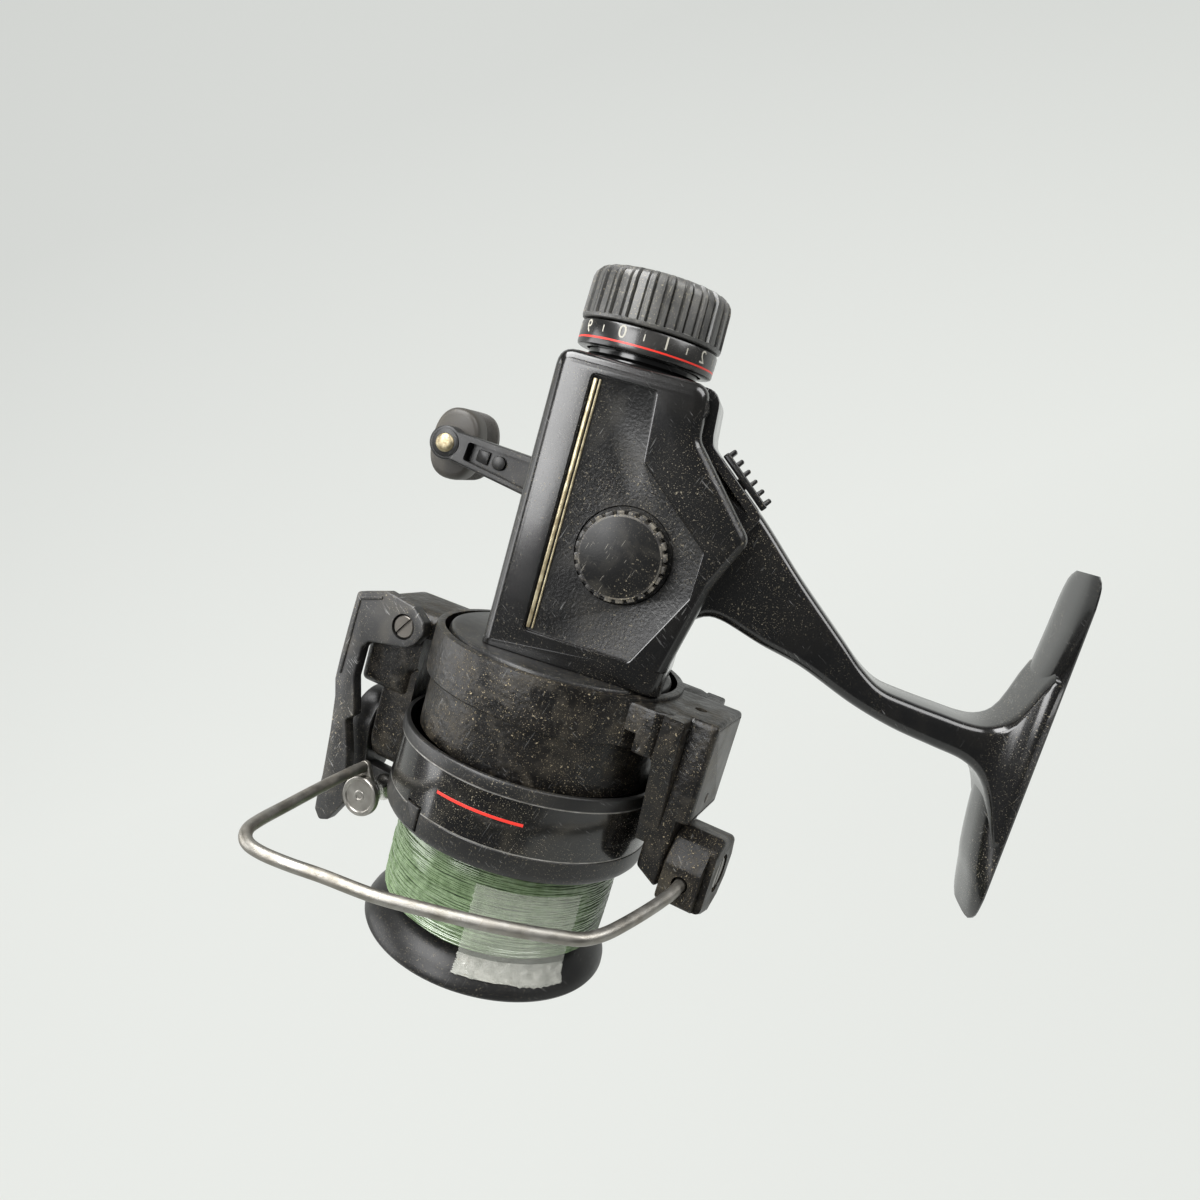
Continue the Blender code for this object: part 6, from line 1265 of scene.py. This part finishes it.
def tapeGrid():
    t = tape
    rng = random.Random(7)
    profile = splineThrough([Vector(p) for p in tapeProfile], 12)
    columns, last = t["columns"], len(profile) - 1
    jag = [rng.uniform(-t["jag"], t["jag"]) + (t["tooth"] if i % 3 == 0 else 0.0)
           + t["wave"] * math.sin(i * 0.13 + 0.4) for i in range(columns + 1)]
    sway = [rng.uniform(-t["sway"], t["sway"]) for _ in profile]
    grid = []
    for column in range(columns + 1):
        share = column / columns
        row = []
        for i, p in enumerate(profile):
            turn = t["start"] + (t["end"] - t["start"]) * share + sway[i] * (abs(share - 0.5) * 2) ** 8
            ripple = t["ripple"] * math.sin(share * 23 + p.x * 1.3) * math.sin(share * 9 - p.x * 0.7)
            fold = max(0.0, math.sin(share * 31 + p.x * 0.9)) ** 6 if p.x > t["creaseFrom"] else 0.0
            end = jag[column] * {last: 1, last - 1: 0.5}.get(i, 0)
            row.append((p.x + end, p.y + abs(ripple) + t["crease"] * fold, math.radians(90 + turn)))
        grid.append(row)
    return grid


def makeTape():
    grid = tapeGrid()
    bm = bmesh.new()
    lower, upper = ([[bm.verts.new(around("x", x, radius + lift, a)) for x, radius, a in row] for row in grid]
                    for lift in (0.0, tape["thickness"]))
    rows, columns = len(grid[0]), len(grid)
    for sheet, step in ((lower, 1), (upper, -1)):
        for i in range(columns - 1):
            for j in range(rows - 1):
                quad = (sheet[i][j], sheet[i + 1][j], sheet[i + 1][j + 1], sheet[i][j + 1])
                bm.faces.new(quad[::step])
    border = [(i, 0) for i in range(columns)] + [(columns - 1, j) for j in range(1, rows)]
    border += [(i, rows - 1) for i in range(columns - 2, -1, -1)] + [(0, j) for j in range(rows - 2, 0, -1)]
    for (i, j), (nextI, nextJ) in zip(border, border[1:] + border[:1]):
        bm.faces.new((lower[nextI][nextJ], lower[i][j], upper[i][j], upper[nextI][nextJ]))
    bmesh.ops.recalc_face_normals(bm, faces=bm.faces[:])
    finishPiece("lineTape", bm, axisFrame, "spool_group", ["tapeClear", "tapeFrost"],
                ["line_tape"], 60, lambda p, n: 1 if p.x > tape["frostFrom"] else 0)


for make in (makeHousing, makeCoverScrews, makeStem, makeFoot, makeCover, makeCap, makeSwitch, makeDragKnob,
             makeHandle, makeGrip, makePlate, makeRotor, makePivotScrews, makeBail, makeTrigger, makeSpool,
             makeLine, makeTape):
    make()
    print("made:", make.__name__[4:])


# Solids of the frame that stay

kept = {
    "steel": ["slider_rail", "pawl_pin", "oscillating_axle", "handle_shaft", "drag_spring", "bail_spring",
              "anti_reverse_pawl", "ratchet_wheel", "rotor_nut", "eared_washer_front", "eared_washer_rear"],
    "brightSteel": ["bearing_outer_race", "bearing_inner_race", "bearing_balls", "main_shaft"],
    "brass": ["pinion"],
    "bronze": ["drive_bush_cover", "drive_bush_housing"],
    "castAlloy": ["drive_gear"],
    "whiteResin": ["pinion_rear_bush", "crosshead", "oscillating_gear"],
    "fibre": ["keyed_washer_front", "keyed_washer_rear"],
}
for finish, names in kept.items():
    for name in names:
        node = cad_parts[name]
        node.data.materials.clear()
        node.data.materials.append(mats[finish])


# Camera, floor and light

# The camera's right is almost the reel's z, towards the rod
view = dict(right=(-0.2718, 0.1667, 0.9478), forward=(0.1703, 0.9777, -0.1232),
            eye=(-0.02926, -0.16068, -0.05763), sensor=36, lens=27, near=0.005)
right = Vector(view["right"]).normalized()
forward = Vector(view["forward"]).normalized()
up = right.cross(forward).normalized()
forward = up.cross(right).normalized()
eye = Vector(view["eye"])
viewFrame = Matrix((right, up, -forward)).transposed().to_4x4()
viewFrame.translation = eye
camera = bpy.data.objects.new("camera", bpy.data.cameras.new("camera"))
scene.collection.objects.link(camera)
camera.matrix_world = viewFrame
camera.data.sensor_width = view["sensor"]
camera.data.lens = view["lens"]
camera.data.clip_start = view["near"]
scene.camera = camera


def studioPoint(side, height, depth):
    return eye + right * side + up * height + forward * depth


# The paper's shade runs from the upper left of the picture to the lower right
paper = dict(name="floorPaper", colour=(0.78, 0.79, 0.78), upperShade=(0.648, 0.665, 0.640),
             lowerShade=(0.785, 0.805, 0.772), across=0.36, down=0.93, fallStart=-0.38, fallEnd=0.02, plain=0.93)


def paperMaterial(look):
    material = bpy.data.materials.new(look["name"])
    material.use_nodes = True
    tree = material.node_tree
    nodes, link = tree.nodes, tree.links.new
    shader = nodes["Principled BSDF"]
    shader.inputs["Base Color"].default_value = (*look["colour"], 1)
    shader.inputs["Roughness"].default_value = 0.8
    fall = nodes.new("ShaderNodeVectorMath")
    fall.operation = "DOT_PRODUCT"
    direction = right * look["across"] - up * look["down"]
    fall.inputs[1].default_value = direction
    link(nodes.new("ShaderNodeTexCoord").outputs["Object"], fall.inputs[0])
    spread = nodes.new("ShaderNodeMapRange")
    spread.inputs["From Min"].default_value = direction.dot(eye) + look["fallStart"]
    spread.inputs["From Max"].default_value = direction.dot(eye) + look["fallEnd"]
    link(fall.outputs["Value"], spread.inputs["Value"])
    shade = nodes.new("ShaderNodeMix")
    shade.data_type = "RGBA"
    link(spread.outputs[0], shade.inputs["Factor"])
    shade.inputs["A"].default_value = (*look["upperShade"], 1)
    shade.inputs["B"].default_value = (*look["lowerShade"], 1)
    glow = nodes.new("ShaderNodeEmission")
    link(shade.outputs["Result"], glow.inputs["Color"])
    rays = nodes.new("ShaderNodeLightPath")
    seen = rays.outputs["Is Camera Ray"]
    for label in ("Is Glossy Ray", "Is Transmission Ray"):
        seen = treeMath(tree, "MAXIMUM", seen, rays.outputs[label])
    mix = nodes.new("ShaderNodeMixShader")
    link(treeMath(tree, "MULTIPLY", seen, look["plain"]), mix.inputs[0])
    link(shader.outputs[0], mix.inputs[1])
    link(glow.outputs[0], mix.inputs[2])
    link(mix.outputs[0], nodes["Material Output"].inputs["Surface"])
    return material


# Sizes of the paper, in metres from the camera
studio = dict(floorDrop=0.34, nearEdge=-0.35, nearDrop=0.10, wallDepth=0.62, bend=0.22, bendSteps=12, width=1.6,
              height=1.1, wallLean=0.1)


def makeSweep():
    s = studio
    floor, corner = -s["floorDrop"], s["wallDepth"] - s["bend"]
    path = [(floor - s["nearDrop"], s["nearEdge"]), (floor, corner)]
    for step in range(1, s["bendSteps"] + 1):
        a = math.pi / 2 * step / s["bendSteps"]
        path.append((floor + s["bend"] * (1 - math.cos(a)), corner + s["bend"] * math.sin(a)))
    path.append((s["height"], s["wallDepth"] + s["wallLean"]))
    bm = bmesh.new()
    near, far = ([bm.verts.new(studioPoint(side, height, depth)) for height, depth in path]
                 for side in (-s["width"], s["width"]))
    for i in range(len(path) - 1):
        bm.faces.new((near[i], far[i], far[i + 1], near[i + 1]))
    mesh = bpy.data.meshes.new("floorSweep")
    bm.to_mesh(mesh)
    mesh.shade_smooth()
    mesh.materials.append(paperMaterial(paper))
    item = bpy.data.objects.new("floorSweep", mesh)
    scene.collection.objects.link(item)


makeSweep()

lamps = [
    dict(name="frontLamp", place=(-0.275, 0.137, -0.30), size=(0.36, 0.25), power=3.0),
    dict(name="keyLamp", place=(-0.15, 0.475, -0.06), size=(0.5, 0.30), power=6.0),
    dict(name="leftLamp", place=(-0.55, 0.10, 0.14), size=(0.35, 0.45), power=2.0),
    dict(name="rightLamp", place=(0.38, 0.32, -0.08), size=(0.3, 0.45), power=3.0),
]
target = studioPoint(0.0, 0.0, 0.17)            # the lamps look at the reel
for lamp in lamps:
    light = bpy.data.lights.new(lamp["name"], "AREA")
    light.shape = "RECTANGLE"
    light.size, light.size_y = lamp["size"]
    light.energy = lamp["power"]
    item = bpy.data.objects.new(lamp["name"], light)
    scene.collection.objects.link(item)
    item.location = studioPoint(*lamp["place"])
    item.rotation_euler = (target - item.location).to_track_quat("-Z", "Y").to_euler()
    item.visible_camera = False

world = bpy.data.worlds.new("studioWorld")
scene.world = world
world.use_nodes = True
worldNodes, worldLink = world.node_tree.nodes, world.node_tree.links.new
background = worldNodes["Background"]
background.inputs["Color"].default_value = (0.90, 0.92, 0.93, 1)
background.inputs["Strength"].default_value = 0.15
plainBack = worldNodes.new("ShaderNodeBackground")
plainBack.inputs["Color"].default_value = (0.77, 0.79, 0.765, 1)
rays = worldNodes.new("ShaderNodeLightPath")
blend = worldNodes.new("ShaderNodeMixShader")
worldLink(rays.outputs["Is Camera Ray"], blend.inputs[0])
worldLink(background.outputs[0], blend.inputs[1])
worldLink(plainBack.outputs[0], blend.inputs[2])
worldLink(blend.outputs[0], worldNodes["World Output"].inputs["Surface"])
print("studio set")
